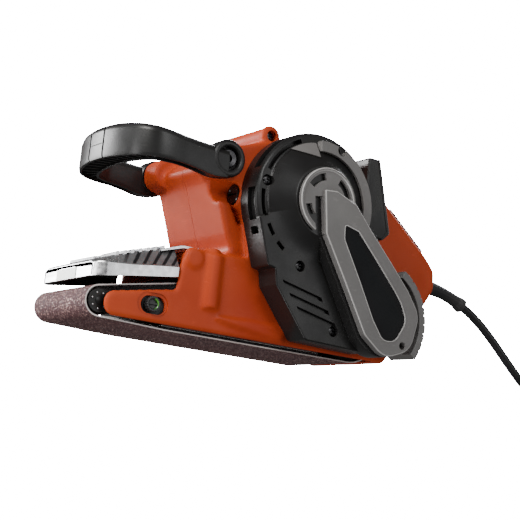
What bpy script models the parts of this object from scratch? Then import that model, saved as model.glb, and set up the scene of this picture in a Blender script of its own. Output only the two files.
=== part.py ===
"""Handheld belt sander, an assembly of separate solids.

Front of the machine is -X, its drive side is -Y and +Z is up. The origin is the middle of the flat
sole, on the underside of the sanding belt. Outlines are lists of (x, z) or (x, z, corner radius) in
millimetres, because that is how such a machine is drawn; mm() turns them into metres.
"""

import math

import bmesh
import bpy
from mathutils import Matrix, Vector

# ---------------------------------------------------------------- driving dimensions, millimetres
BELT_WIDTH = 76.0
BELT_THICK = 0.9
GAP = 0.3
FRONT_AXLE = (-101.0, 12.0)
REAR_AXLE = (101.0, 30.0)
FRONT_LOOP_R = 10.5
REAR_LOOP_R = 30.0
FRONT_ROLLER_R = 8.9
DRIVE_ROLLER_R = 28.7
PLATEN_FRONT_X = -52.0
TUNNEL_CLEARANCE = 3.5
HALF_WIDTH = 44.0
SKIRT_INNER_Y = -41.3
HANDLE_HALF_WIDTH = 18.0
MOTOR_AXIS = (43.0, 102.0)
MOTOR_PITCH_R = 5.5
DRIVEN_PITCH_R = 22.0
MOTOR_TEETH = 9
DRIVEN_TEETH = 36
DRIVE_BELT_Y = (-71.0, -63.0)
RING_R = 50.0
COVER_FACE_Y = -81.0
COLUMN_HALF_WIDTH = 39.0
SCOOP_HALF_WIDTH = 30.0
BRUSH_Y = -35.5
HANDLE_PIVOT = (-25.0, 121.0)
HANDLE_EYE_R = 13.0
ARM_Y = (44.4, 54.5)
GUARD_PIVOT = (-38.0, 51.0)
KNOB_CENTRE = (-66.0, 15.0)
LEVER_PIVOT = (-54.0, 40.5)
TUBE_CENTRE = (15.0, 148.0)
CORD_R = 3.5
COIL_CENTRE = (382.0, -48.0)
COIL_TURN_R = (34.0, 41.0, 48.0)

ORANGE = (0.62, 0.075, 0.012)
BLACK = (0.016, 0.015, 0.015)
GREY = (0.16, 0.155, 0.15)
ALUMINIUM = (0.62, 0.63, 0.65)
STEEL = (0.45, 0.46, 0.48)


# ---------------------------------------------------------------- helpers: materials and objects
def mm(value):
    return value * 0.001


def material(name, colour, roughness, metallic=0.0):
    found = bpy.data.materials.get(name)
    if found:
        return found
    made = bpy.data.materials.new(name)
    made.use_nodes = True
    shader = made.node_tree.nodes["Principled BSDF"]
    shader.inputs["Base Color"].default_value = (*colour, 1.0)
    shader.inputs["Roughness"].default_value = roughness
    shader.inputs["Metallic"].default_value = metallic
    return made


def new_object(name, shape, finish=None, pivot=(0.0, 0.0, 0.0)):
    """Turn a bmesh in millimetres into an object in metres with its origin at pivot."""
    bmesh.ops.recalc_face_normals(shape, faces=shape.faces)
    offset = Vector(pivot)
    for vert in shape.verts:
        vert.co = (vert.co - offset) * 0.001
    mesh = bpy.data.meshes.new(name)
    shape.to_mesh(mesh)
    shape.free()
    mesh.shade_smooth()
    mesh.set_sharp_from_angle(angle=math.radians(35))
    made = bpy.data.objects.new(name, mesh)
    made.location = offset * 0.001
    bpy.context.scene.collection.objects.link(made)
    if finish:
        mesh.materials.append(finish)
    return made


def boolean(target, tool, operation, solver="EXACT"):
    tool.hide_render = True
    tool.display_type = "WIRE"
    modifier = target.modifiers.new(f"{operation.lower()}_{tool.name}", "BOOLEAN")
    modifier.operation = operation
    modifier.object = tool
    modifier.solver = solver
    return target


def cut(target, *tools, solver="EXACT"):
    for tool in tools:
        boolean(target, tool, "DIFFERENCE", solver)
    return target


def join(target, *tools):
    for tool in tools:
        boolean(target, tool, "UNION")
    return target


# ---------------------------------------------------------------- helpers: outlines
def circle_points(centre, radius, count=32, start=0.0, end=360.0):
    """Points on a circle or an arc; a full circle doesn't repeat its first point."""
    full = abs(end - start) >= 360.0
    steps = count if full else count - 1
    points = []
    for i in range(count):
        angle = math.radians(start + (end - start) * i / steps)
        points.append((centre[0] + radius * math.cos(angle), centre[1] + radius * math.sin(angle)))
    return points


def hull(points):
    """Convex hull, counter-clockwise."""
    ordered = sorted(set((round(x, 5), round(z, 5)) for x, z in points))

    def half(sequence):
        chain = []
        for p in sequence:
            while len(chain) >= 2:
                (ax, az), (bx, bz) = chain[-2], chain[-1]
                if (bx - ax) * (p[1] - az) - (bz - az) * (p[0] - ax) > 1e-7:
                    break
                chain.pop()
            chain.append(p)
        return chain[:-1]

    return half(ordered) + half(ordered[::-1])


def rounded(corners, steps=3):
    """Outline with each (x, z, radius) corner replaced by an arc; (x, z) stays sharp."""
    outline = []
    total = len(corners)
    for i, corner in enumerate(corners):
        point = Vector(corner[:2])
        radius = corner[2] if len(corner) > 2 else 0.0
        to_last = (Vector(corners[i - 1][:2]) - point).normalized()
        to_next = (Vector(corners[(i + 1) % total][:2]) - point).normalized()
        half_angle = to_last.angle(to_next) / 2
        if radius <= 0 or half_angle > math.radians(88):
            outline.append(tuple(point))
            continue
        reach = radius / math.tan(half_angle)
        centre = point + (to_last + to_next).normalized() * (radius / math.sin(half_angle))
        start = point + to_last * reach - centre
        end = point + to_next * reach - centre
        sweep = start.angle_signed(end)
        for k in range(steps + 1):
            turned = start.copy()
            turned.rotate(Matrix.Rotation(-sweep * k / steps, 2))
            outline.append(tuple(centre + turned))
    return outline


def grown_outline(outline, distance):
    """Outline moved outward by a small distance, or inward by a negative one."""
    count = len(outline)
    area = sum(outline[i][0] * outline[(i + 1) % count][1] - outline[(i + 1) % count][0] * outline[i][1]
               for i in range(count))
    facing = 1.0 if area > 0 else -1.0
    moved = []
    for i in range(count):
        here = Vector(outline[i])
        before = (here - Vector(outline[i - 1])).normalized()
        after = (Vector(outline[(i + 1) % count]) - here).normalized()
        normal = Vector((before.y + after.y, -before.x - after.x)).normalized() * facing
        bend = max(0.5, math.cos(before.angle(after, 0.0) / 2))
        moved.append(tuple(here + normal * distance / bend))
    return moved




# ---------------------------------------------------------------- helpers: solids
def prism(name, outline, y0, y1, finish=None, pivot=(0.0, 0.0, 0.0), bevel=0.0, ends="both"):
    """Outline in the XZ plane, extruded along Y, with its end rims bevelled."""
    shape = bmesh.new()
    low = shape.faces.new([shape.verts.new((x, y0, z)) for x, z in outline])
    grown = bmesh.ops.extrude_face_region(shape, geom=[low])
    top = [v for v in grown["geom"] if isinstance(v, bmesh.types.BMVert)]
    bmesh.ops.translate(shape, verts=top, vec=(0, y1 - y0, 0))
    if bevel:
        wanted = {"both": (y0, y1), "low": (min(y0, y1),), "high": (max(y0, y1),)}[ends]
        rims = [e for e in shape.edges
                if any(all(abs(v.co.y - y) < 1e-6 for v in e.verts) for y in wanted)]
        bmesh.ops.bevel(shape, geom=rims, offset=bevel, segments=1, profile=0.5, affect="EDGES",
                        clamp_overlap=True)
    return new_object(name, shape, finish, pivot)


def plate(name, outline, z0, z1, finish=None, pivot=(0.0, 0.0, 0.0), bevel=0.0):
    """Outline in the XY plane, extruded along Z."""
    shape = bmesh.new()
    low = shape.faces.new([shape.verts.new((x, y, z0)) for x, y in outline])
    grown = bmesh.ops.extrude_face_region(shape, geom=[low])
    top = [v for v in grown["geom"] if isinstance(v, bmesh.types.BMVert)]
    bmesh.ops.translate(shape, verts=top, vec=(0, 0, z1 - z0))
    if bevel:
        rims = [e for e in shape.edges if abs(e.verts[0].co.z - e.verts[1].co.z) < 1e-6]
        bmesh.ops.bevel(shape, geom=rims, offset=bevel, segments=1, profile=0.5, affect="EDGES",
                        clamp_overlap=True)
    return new_object(name, shape, finish, pivot)


def turned(name, centre, profile, finish=None, axis="Y", sides=24, pivot=None):
    """Solid of revolution about an axis through centre.

    profile lists (radius, position along the axis) from one end to the other. A profile that
    starts and ends at radius 0 makes a solid piece; any other profile is closed on itself, as a
    ring's section.
    """
    shape = bmesh.new()
    solid = profile[0][0] == 0 and profile[-1][0] == 0
    rows = []
    for radius, along in profile:
        ring = []
        for i in range(1 if radius == 0 else sides):
            angle = math.tau * i / sides
            side = radius * math.cos(angle)
            up = radius * math.sin(angle)
            if axis == "Y":
                place = (centre[0] + side, along, centre[-1] + up)
            elif axis == "X":
                place = (along, centre[-2] + side, centre[-1] + up)
            else:
                place = (centre[0] + side, centre[1] + up, along)
            ring.append(shape.verts.new(place))
        rows.append(ring)
    pairs = list(zip(rows, rows[1:]))
    if not solid:
        pairs.append((rows[-1], rows[0]))
    for a, b in pairs:
        for i in range(sides):
            j = (i + 1) % sides
            corners = [a[i % len(a)], a[j % len(a)], b[j % len(b)], b[i % len(b)]]
            kept = []
            for corner in corners:
                if corner not in kept:
                    kept.append(corner)
            if len(kept) > 2:
                shape.faces.new(kept)
    if pivot is None:
        pivot = {"Y": (centre[0], 0, centre[-1]), "X": (0, centre[-2], centre[-1]),
                 "Z": (centre[0], centre[1], 0)}[axis]
    return new_object(name, shape, finish, pivot)


def drum(name, centre, radius, low, high, finish=None, axis="Y", sides=20, chamfer=0.0):
    """Plain round piece, its ends chamfered."""
    profile = [(0, low), (radius - chamfer, low), (radius, low + chamfer),
               (radius, high - chamfer), (radius - chamfer, high), (0, high)]
    if not chamfer:
        profile = [(0, low), (radius, low), (radius, high), (0, high)]
    return turned(name, centre, profile, finish, axis, sides)


def tube_ring(name, centre, inner, outer, low, high, finish=None, axis="Y", sides=20):
    return turned(name, centre, [(inner, low), (outer, low), (outer, high), (inner, high)],
                  finish, axis, sides)


def box(name, low, high, finish=None, pivot=(0.0, 0.0, 0.0), bevel=0.0):
    outline = [(low[0], low[2]), (high[0], low[2]), (high[0], high[2]), (low[0], high[2])]
    return prism(name, outline, low[1], high[1], finish, pivot, bevel)


def loft(name, sections, finish=None, pivot=(0.0, 0.0, 0.0)):
    """Skin over closed sections of equal point count, with flat end faces."""
    shape = bmesh.new()
    rows = [[shape.verts.new(p) for p in section] for section in sections]
    for a, b in zip(rows, rows[1:]):
        for i in range(len(a)):
            j = (i + 1) % len(a)
            shape.faces.new((a[i], a[j], b[j], b[i]))
    shape.faces.new(rows[0])
    shape.faces.new(rows[-1])
    return new_object(name, shape, finish, pivot)


def smooth_route(points, spacing):
    """Even points, in millimetres, on a smooth curve through the route's own points."""
    spots = [Vector(p) for p in points]
    spots = [spots[0] * 2 - spots[1]] + spots + [spots[-1] * 2 - spots[-2]]
    dense = []
    for a, b, c, d in zip(spots, spots[1:], spots[2:], spots[3:]):
        for i in range(20):
            t = i / 20
            dense.append(0.5 * (2 * b + (c - a) * t + (2 * a - 5 * b + 4 * c - d) * t * t
                                + (3 * b - a - 3 * c + d) * t ** 3))
    dense.append(spots[-2])
    reach = [0.0]
    for a, b in zip(dense, dense[1:]):
        reach.append(reach[-1] + (b - a).length)
    count = max(3, round(reach[-1] / spacing) + 1)
    even = []
    k = 0
    for i in range(count):
        goal = reach[-1] * i / (count - 1)
        while k < len(reach) - 2 and reach[k + 1] < goal:
            k += 1
        span = reach[k + 1] - reach[k]
        even.append(dense[k].lerp(dense[k + 1], (goal - reach[k]) / span))
    return even


def cord_tube(name, points, radius, finish):
    """Round cord as a bevelled curve with filled ends."""
    curve = bpy.data.curves.new(name, "CURVE")
    curve.dimensions = "3D"
    curve.bevel_depth = mm(radius)
    curve.bevel_resolution = 2
    curve.use_fill_caps = True
    spline = curve.splines.new("POLY")
    spline.points.add(len(points) - 1)
    for spot, place in zip(spline.points, points):
        spot.co = (*(place * 0.001), 1.0)
    made = bpy.data.objects.new(name, curve)
    bpy.context.scene.collection.objects.link(made)
    curve.materials.append(finish)
    return made


# ---------------------------------------------------------------- outlines shared by several pieces
def belt_outline(grow):
    """The sanding belt's outer loop, grown outward by grow."""
    front = circle_points(FRONT_AXLE, FRONT_LOOP_R + grow, 20)
    rear = circle_points(REAR_AXLE, REAR_LOOP_R + grow, 32)
    return hull(front + rear + [(PLATEN_FRONT_X, -grow)])


def body_corners(with_skirt):
    """Side outline of the clamshell, front bottom first, going up and back."""
    skirt = [(-100.5, 3.0, 7.0), (-100.5, 18.5, 7.0), (-49.0, 28.0, 1.5)]
    plain = [(-46.0, 30.0, 0.0)]
    upper = [(-46.0, 50.0, 3.0), (-43.0, 58.0, 5.0), (-4.0, 58.0, 5.0), (-12.5, 73.0, 8.0),
             (-18.5, 90.0, 12.0), (-25.0, 108.0, 10.0), (-31.0, 119.0, 6.0), (-14.0, 134.0, 8.0),
             (8.0, 142.0, 4.0), (30.0, 147.0, 6.0), (88.0, 149.0, 8.0), (95.0, 140.0, 6.0),
             (95.0, 90.0, 6.0)]
    guard_arc = circle_points(REAR_AXLE, 40.0, 12, 72.0, -42.5)
    return (skirt if with_skirt else plain) + upper + [(x, z, 0.0) for x, z in guard_arc]


def bay_corners():
    """Hollow that holds the motor, 3 mm inside the clamshell."""
    return [(9.0, 51.5, 3.0), (7.5, 60.0, 0.0), (-2.0, 106.0, 6.0), (-2.0, 133.0, 4.0), (9.0, 138.5, 3.0),
            (30.0, 143.5, 4.0), (86.0, 145.5, 5.0), (91.5, 138.0, 4.0), (91.5, 72.0, 4.0)]


def column_bay_corners():
    """Hollow of the narrower front column, open into the motor bay."""
    return [(12.0, 62.0, 0.0), (3.0, 62.0, 2.0), (-6.0, 76.0, 6.0), (-14.0, 92.0, 8.0),
            (-21.5, 110.0, 6.0), (-24.0, 116.0, 4.0), (-12.0, 128.0, 6.0), (12.0, 136.0, 0.0)]


HANDLE_CORNERS = [(90.0, 130.0, 0.0), (92.0, 147.0, 3.0), (113.0, 147.0, 10.0),
                  (142.0, 130.5, 25.0), (186.5, 96.5, 12.0), (197.0, 86.0, 8.0),
                  (198.0, 71.0, 8.0), (189.0, 56.0, 6.0), (142.0, 47.0, 6.0),
                  (125.0, 44.0, 0.0), (96.0, 62.0, 0.0), (90.0, 72.0, 0.0)]
FINGER_CORNERS = [(108.0, 80.0, 8.0), (108.0, 100.0, 8.0), (118.0, 106.0, 8.0),
                  (154.0, 78.0, 10.0), (150.0, 65.0, 7.0), (124.0, 64.0, 4.0),
                  (112.0, 70.0, 4.0)]
GRIP_SLOPE = (Vector((186.5, 96.5)) - Vector((142.0, 130.5))).normalized()
GRIP_UP = Vector((-GRIP_SLOPE.y, GRIP_SLOPE.x))


def cover_corners():
    """Side outline of the drive cover's lower body."""
    return [(-4.0, 84.0, 0.0), (7.0, 52.0, 2.0), (13.0, 51.0, 2.0), (15.0, 40.0, 3.0),
            (43.0, 6.5, 5.0), (101.0, 5.0, 5.0), (127.0, 11.0, 14.0), (133.0, 34.0, 14.0),
            (120.0, 60.0, 14.0), (92.0, 96.0, 8.0), (60.0, 120.0, 0.0)]


ARM_CORNERS = [(37.5, 109.0, 2.0), (41.5, 79.0, 6.0), (61.5, 48.0, 0.0), (82.0, 15.0, 14.0),
               (101.0, 1.5, 16.0), (124.0, 10.0, 16.0), (130.0, 36.0, 16.0), (118.0, 52.0, 10.0),
               (104.0, 66.0, 0.0), (80.0, 89.0, 12.0), (65.5, 104.0, 4.0), (48.0, 110.0, 2.0)]
PANEL_CORNERS = [(57.0, 88.0, 1.5), (57.5, 78.0, 6.0), (73.5, 52.0, 0.0), (88.0, 27.0, 8.0),
                 (98.0, 14.0, 8.0), (109.0, 14.5, 9.0), (118.0, 30.0, 10.0), (112.0, 42.0, 6.0),
                 (105.0, 50.0, 0.0), (86.0, 69.0, 0.0), (69.0, 85.5, 3.0)]


# ---------------------------------------------------------------- housing
def housing_half(name, side, finish):
    """One half of the clamshell; side is -1 for the drive side and +1 for the open side."""
    near = side < 0
    seam = side * GAP / 2
    wall = side * HALF_WIDTH
    outer = "low" if near else "high"
    shell = prism(name, rounded(body_corners(near)), wall, seam, finish, bevel=3.0, ends=outer)
    handle = prism(f"{name}_handle_tool", rounded(HANDLE_CORNERS), side * HANDLE_HALF_WIDTH,
                   side * GAP / 2, bevel=5.0, ends=outer)
    tube = drum(f"{name}_tube_tool", TUBE_CENTRE, 7.0, *sorted((side * 41.0, seam)))
    join(shell, handle, tube)
    tunnel_y = (SKIRT_INNER_Y, 1.0) if near else (-1.0, 60.0)
    cut(shell, prism(f"{name}_tunnel_tool", belt_outline(TUNNEL_CLEARANCE), *tunnel_y))
    cut(shell, prism(f"{name}_bay_tool", rounded(bay_corners()), side * (HALF_WIDTH - 3.0),
                     -side * 1.0))
    cut(shell, prism(f"{name}_column_bay_tool", rounded(column_bay_corners()), side * 26.5,
                     -side * 1.0))
    shoulder = [(-60.0, 58.2), (4.5, 58.2), (-6.0, 108.0), (-60.0, 108.0)]
    cut(shell, prism(f"{name}_shoulder_tool", shoulder, side * COLUMN_HALF_WIDTH, side * 50.0))
    scoop = [(0.5, 76.0), (-6.0, 108.0), (-16.0, 108.0), (-9.5, 91.0)]
    cut(shell, prism(f"{name}_scoop_tool", scoop, side * SCOOP_HALF_WIDTH, side * 50.0))
    boss_y = sorted((side * 26.0, side * (HALF_WIDTH - 0.5)))
    join(shell, drum(f"{name}_boss_tool", HANDLE_PIVOT, 11.5, *boss_y, sides=24))
    cut(shell, prism(f"{name}_finger_tool", rounded(FINGER_CORNERS), side * 30.0, -side * 1.0))
    pocket = [(-60.0, 45.5), (-24.0, 45.5), (-24.0, 64.0), (-60.0, 64.0)]
    cut(shell, prism(f"{name}_pocket_tool", pocket, side * 40.5, -side * 1.0))
    barrel_y = sorted((side * 12.4, side * 42.0))
    join(shell, drum(f"{name}_barrel_tool", GUARD_PIVOT, 5.4, *barrel_y))
    relief_y = sorted((side * 12.0, -side * 1.0))
    cut(shell, drum(f"{name}_knuckle_tool", GUARD_PIVOT, 7.2, *relief_y))
    cut(shell, drum(f"{name}_pin_tool", GUARD_PIVOT, 2.3, -60.0, 60.0, sides=10))
    cut(shell, drum(f"{name}_bore_tool", TUBE_CENTRE, 3.9, *sorted((side * 45.0, side * 8.0)),
                    sides=14), solver="MANIFOLD")
    cut(shell, drum(f"{name}_pivot_tool", HANDLE_PIVOT, 3.3, *sorted((side * 45.0, side * 28.0)),
                    sides=12), solver="MANIFOLD")
    return shell


def trigger_pocket(name, side):
    spot = Vector((133.0, 95.0))
    a = spot - GRIP_SLOPE * 15.5 - GRIP_UP * 14.0
    b = spot + GRIP_SLOPE * 15.5 - GRIP_UP * 14.0
    c = spot + GRIP_SLOPE * 15.5 + GRIP_UP * 15.0
    d = spot - GRIP_SLOPE * 15.5 + GRIP_UP * 15.0
    return prism(name, [tuple(a), tuple(b), tuple(c), tuple(d)], side * 8.6, -side * 1.0)


def housing_left(finish):
    half = housing_half("housing_left", -1, finish)
    cut(half, trigger_pocket("left_trigger_tool", -1), solver="MANIFOLD")
    window = hull(circle_points((KNOB_CENTRE[0] - 4.0, 15.0), 6.6, 20)
                  + circle_points((KNOB_CENTRE[0] + 4.0, 15.0), 6.6, 20))
    cut(half, prism("knob_window_tool", window, -50.0, -40.0), solver="MANIFOLD")
    cut(half, drum("motor_hole_tool", MOTOR_AXIS, 15.0, -50.0, -39.0, sides=32), solver="MANIFOLD")
    cut(half, drum("roller_hole_tool", REAR_AXLE, 13.0, -50.0, -39.0, sides=32), solver="MANIFOLD")
    cut(half, drum("brush_seat_tool", (0, BRUSH_Y, 102.0), 7.3, -60.0, 3.0, axis="X"), solver="MANIFOLD")
    cut(half, drum("rear_brush_tool", (0, BRUSH_Y, 102.0), 7.3, 88.0, 100.0, axis="X"), solver="MANIFOLD")
    cut(half, drum("button_tool", (126.0, 121.0), 4.6, -24.0, -10.0, sides=20), solver="MANIFOLD")
    cut(half, drum("relief_left_tool", (0, 0.0, 76.0), 6.4, 178.0, 200.0, axis="X"), solver="MANIFOLD")
    return half


def housing_right(finish):
    half = housing_half("housing_right", 1, finish)
    cut(half, trigger_pocket("right_trigger_tool", 1), solver="MANIFOLD")
    cut(half, drum("far_bearing_tool", MOTOR_AXIS, 11.3, 30.0, 50.0, sides=32), solver="MANIFOLD")
    for i in range(8):
        angle = math.tau * (i + 0.5) / 8
        spot = (MOTOR_AXIS[0] + 24.0 * math.cos(angle), MOTOR_AXIS[1] + 24.0 * math.sin(angle))
        across = Vector((-math.sin(angle), math.cos(angle)))
        ends = [tuple(Vector(spot) + across * 4.5 * k) for k in (-1, 1)]
        slot = hull(circle_points(ends[0], 2.6, 10) + circle_points(ends[1], 2.6, 10))
        cut(half, prism(f"vent_{i}_tool", slot, 38.0, 47.0), solver="MANIFOLD")
    cut(half, drum("relief_right_tool", (0, 0.0, 76.0), 6.4, 178.0, 200.0, axis="X"), solver="MANIFOLD")
    return half


def soft_grip(finish):
    """Rubber strip laid over the back of the rear handle."""
    a = Vector((142.0, 130.5)) + GRIP_SLOPE * 9.0 + GRIP_UP * GAP
    b = Vector((186.5, 96.5)) - GRIP_SLOPE * 2.5 + GRIP_UP * GAP
    lift = GRIP_UP * 2.8
    outline = [tuple(a), tuple(b), tuple(b + lift), tuple(a + lift)]
    return prism("rear_soft_grip", outline, -13.0, 13.0, finish, bevel=0.8)


def dust_outlet(finish):
    """Square duct behind the drive cover, open towards the back."""
    corners = [(95.6, 93.0, 2.0), (114.0, 91.0, 3.0), (120.0, 97.0, 3.0), (105.5, 150.0, 3.0),
               (95.6, 150.0, 2.0)]
    duct = prism("dust_outlet", rounded(corners), -52.0, -21.0, finish, bevel=1.2)
    mouth = [(98.5, 96.5), (130.0, 100.0), (118.0, 146.5), (98.5, 146.5)]
    return cut(duct, prism("duct_mouth_tool", mouth, -49.0, -24.0))


# ---------------------------------------------------------------- drive cover
def drive_cover_base(finish):
    """Black cover body: vented ring round the motor shaft and a flat lower body."""
    ring = circle_points(MOTOR_AXIS, RING_R, 36)
    base = prism("drive_cover_base", ring, -64.0, -44.4, finish, bevel=2.5, ends="low")
    lower = prism("cover_lower_tool", rounded(cover_corners()), -66.0, -44.4, bevel=1.5, ends="low")
    cone = turned("cover_cone_tool", MOTOR_AXIS,
                  [(0, -58.0), (41.0, -58.0), (41.0, -65.5), (25.0, -75.4), (0, -75.4)], sides=32)
    bed = prism("arm_bed_tool", hull(circle_points(MOTOR_AXIS, 16.0, 24)
                                     + circle_points(REAR_AXLE, 27.0, 32)), -75.4, -60.0)
    join(base, lower, cone, bed)
    fan_room = drum("fan_room_tool", MOTOR_AXIS, 37.0, -62.0, -40.0, sides=32)
    belt_room = hull(circle_points(MOTOR_AXIS, 12.0, 20) + circle_points(REAR_AXLE, 25.3, 32))
    cut(base, fan_room, prism("belt_room_tool", belt_room, -73.0, -40.0))
    plate_room = hull(circle_points(MOTOR_AXIS, 19.0, 20) + circle_points(REAR_AXLE, 19.0, 20))
    cut(base, prism("plate_room_tool", plate_room, -52.0, -40.0))
    for angle in range(132, 213, 16):
        direction = Vector((math.cos(math.radians(angle)), math.sin(math.radians(angle))))
        spot = Vector(MOTOR_AXIS) + direction * RING_R
        across = Vector((-direction.y, direction.x)) * 3.6
        inward = direction * 5.0
        slot = [tuple(spot - across - inward), tuple(spot + across - inward),
                tuple(spot + across + inward), tuple(spot - across + inward)]
        cut(base, prism(f"ring_vent_{angle}_tool", slot, -60.5, -50.0))
    for name, centre in COVER_SCREWS:
        cut(base, drum(f"{name}_seat_tool", centre, 3.7, -90.0, -60.0, sides=16))
    return base


COVER_SCREWS = [("cover_screw_front", (0.5, 110.0)), ("cover_screw_top", (56.0, 142.0)),
                ("cover_screw_middle", (33.0, 56.0)), ("cover_screw_bottom", (66.0, 16.0))]


def drive_cover_frame(finish):
    """Grey frame: a part ring round the motor end and the arm down to the roller end."""
    arc = circle_points(MOTOR_AXIS, 43.5, 28, 104.0, -62.0)
    arc += circle_points(MOTOR_AXIS, 36.0, 28, -62.0, 104.0)
    frame = prism("drive_cover_frame", arc, -71.6, -66.4, finish)
    arm = prism("arm_tool", rounded(ARM_CORNERS), COVER_FACE_Y, -71.0, bevel=0.8, ends="low")
    join(frame, arm)
    room = drum("cone_room_tool", MOTOR_AXIS, 41.3, -66.2, -60.0, sides=32)
    cone = turned("cone_relief_tool", MOTOR_AXIS,
                  [(0, -60.0), (41.6, -60.0), (41.6, -65.6), (25.3, -75.8), (0, -75.8)], sides=32)
    bed = prism("bed_relief_tool", hull(circle_points(MOTOR_AXIS, 16.4, 24)
                                        + circle_points(REAR_AXLE, 27.4, 32)), -75.8, -59.0)
    lower = prism("lower_relief_tool", grown_outline(rounded(cover_corners()), 0.4), -66.4, -44.0)
    cut(frame, room, cone, bed, lower)
    cut(frame, prism("panel_recess_tool", rounded(PANEL_CORNERS), -90.0, -79.6))
    cut(frame, drum("disc_recess_tool", MOTOR_AXIS, 23.9, -78.3, -70.0, sides=32))
    cut(frame, drum("top_screw_room_tool", COVER_SCREWS[1][1], 4.0, -90.0, -58.0, sides=14),
        solver="MANIFOLD")
    return frame


def rear_band(finish):
    """Ribbed grey wall that wraps the roller end of the cover."""
    arc = circle_points(REAR_AXLE, 43.0, 16, 62.0, -34.0)
    arc += circle_points(REAR_AXLE, 37.0, 16, -34.0, 62.0)
    band = prism("cover_rear_band", arc, -72.0, -44.4, finish, bevel=1.0)
    relief = prism("band_relief_tool", grown_outline(rounded(cover_corners()), 0.4), -80.0, -40.0)
    return cut(band, relief)


def cover_panel(finish):
    """Plain teardrop panel let into the arm."""
    return prism("cover_panel", grown_outline(rounded(PANEL_CORNERS), -0.3), -81.1, -79.9, finish)


def cover_disc(finish):
    """Slotted grey disc in front of the motor shaft."""
    disc = drum("cover_disc", MOTOR_AXIS, 23.4, -78.0, -75.8, finish, sides=32, chamfer=0.5)
    for start in (35.0, 150.0, 210.0):
        arc = circle_points(MOTOR_AXIS, 19.5, 8, start, start + 45.0)
        arc += circle_points(MOTOR_AXIS, 15.5, 8, start + 45.0, start)
        cut(disc, prism(f"disc_slot_{int(start)}_tool", arc, -80.0, -75.0))
    return disc


def screw(name, centre, head_r, head_y, shank_r, tip_y, finish, sides=14):
    """Pan-head screw along Y: the head's outer face is at head_y, the tip at tip_y."""
    inward = 1.0 if tip_y > head_y else -1.0
    under = head_y + inward * 3.6
    profile = [(0, head_y), (head_r - 0.6, head_y), (head_r, head_y + inward * 0.6), (head_r, under)]
    if shank_r:
        profile += [(shank_r, under), (shank_r, tip_y)]
    profile.append((0, profile[-1][1]))
    return turned(name, centre, profile, finish, sides=sides)


def cover_screws(finish):
    for name, centre in COVER_SCREWS:
        screw(name, centre, 3.3, -64.2, 0.0, -60.0, finish)


# ---------------------------------------------------------------- sole, sanding belt and rollers
def sanding_belt(finish):
    """Endless cloth loop round both rollers and under the platen."""
    belt = prism("sanding_belt", belt_outline(0.0), -BELT_WIDTH / 2, BELT_WIDTH / 2, finish)
    return cut(belt, prism("belt_inside_tool", belt_outline(-BELT_THICK), -45.0, 45.0))


def base_frame(finish):
    """Cast frame inside the belt loop, with a channel for the slider and a lever lug."""
    block = [(-62.0, 4.4), (60.0, 4.4), (60.0, 21.0), (-62.0, 21.0)]
    frame = prism("base_frame", block, -37.0, 35.0, finish)
    side = hull([(-72.0, 6.0), (-72.0, 21.0), (60.0, 44.0), (50.0, 5.0)]
                + circle_points(REAR_AXLE, 22.0, 28))
    join(frame, prism("frame_side_tool", side, -41.0, -36.0))
    join(frame, box("lever_lug_tool", (-61.0, 30.0, 5.0), (-48.0, 45.0, 20.0)))
    cut(frame, box("slider_channel_tool", (-70.0, -7.4, 8.6), (-15.5, 7.4, 16.4)))
    cut(frame, box("lever_gap_tool", (-70.0, 35.0, 8.0), (-40.0, 50.0, 17.0)))
    join(frame, drum("lever_pin_tool", (*LEVER_PIVOT, 0.0), 1.9, 7.0, 18.0, axis="Z", sides=12))
    cut(frame, drum("inner_bearing_tool", REAR_AXLE, 11.2, -45.0, -30.0, sides=28))
    cut(frame, drum("knob_stem_tool", KNOB_CENTRE, 2.8, -45.0, -30.0, sides=12))
    cut(frame, box("lightening_tool", (-12.0, -29.0, 3.0), (52.0, 29.0, 17.0)))
    return frame


def platen(steel, graphite):
    """Steel plate under the frame and the slippery pad that the belt runs on."""
    box("platen", (-53.0, -36.5, 2.9), (76.0, 36.5, 4.1), steel)
    box("platen_pad", (-50.0, -36.5, 1.2), (76.0, 36.5, 2.6), graphite)


def front_roller_group(black, steel, spring_steel):
    """Slider, tilting yoke, axle, crowned idler roller and the spring behind the slider."""
    tilt = (-84.0, 0.0, 12.0)
    box("yoke_slider", (-85.6, -7.0, 9.0), (-40.0, 7.0, 16.0), steel, bevel=0.6)
    arm = hull(circle_points(FRONT_AXLE, 7.2, 20) + [(-86.0, 6.0), (-86.0, 18.0)])
    yoke = box("roller_yoke", (-90.5, -36.0, 6.0), (-86.0, 36.0, 18.0), black, pivot=tilt)
    join(yoke, prism("near_arm_tool", arm, -37.3, -34.1), prism("far_arm_tool", arm, 34.1, 37.3))
    drum("front_axle", FRONT_AXLE, 3.0, -33.8, 33.8, steel, sides=16)
    crown = [(3.3, -33.2), (FRONT_ROLLER_R - 0.25, -33.2), (FRONT_ROLLER_R, -12.0),
             (FRONT_ROLLER_R, 12.0), (FRONT_ROLLER_R - 0.25, 33.2), (3.3, 33.2)]
    turned("front_roller", FRONT_AXLE, crown, steel, sides=32)
    tension_spring(spring_steel)


def tension_spring(finish):
    """Coil spring behind the slider, with room to move in the slider's channel."""
    turns = 5
    steps = 8
    points = []
    for i in range(turns * steps + 1):
        angle = math.tau * i / steps
        along = -38.6 + 15.2 * i / (turns * steps)
        points.append(Vector((along, 2.4 * math.cos(angle), 12.5 + 2.4 * math.sin(angle))))
    spring = cord_tube("tension_spring", points, 0.65, finish)
    spring.data.bevel_resolution = 1


def tracking_knob(finish):
    """Ribbed knob that tilts the front roller."""
    knob = turned("tracking_knob", KNOB_CENTRE,
                  [(0, -46.5), (4.6, -46.5), (5.6, -45.5), (5.6, -41.9), (2.2, -41.9),
                   (2.2, -35.0), (0, -35.0)], finish, sides=24)
    return knob


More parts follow.
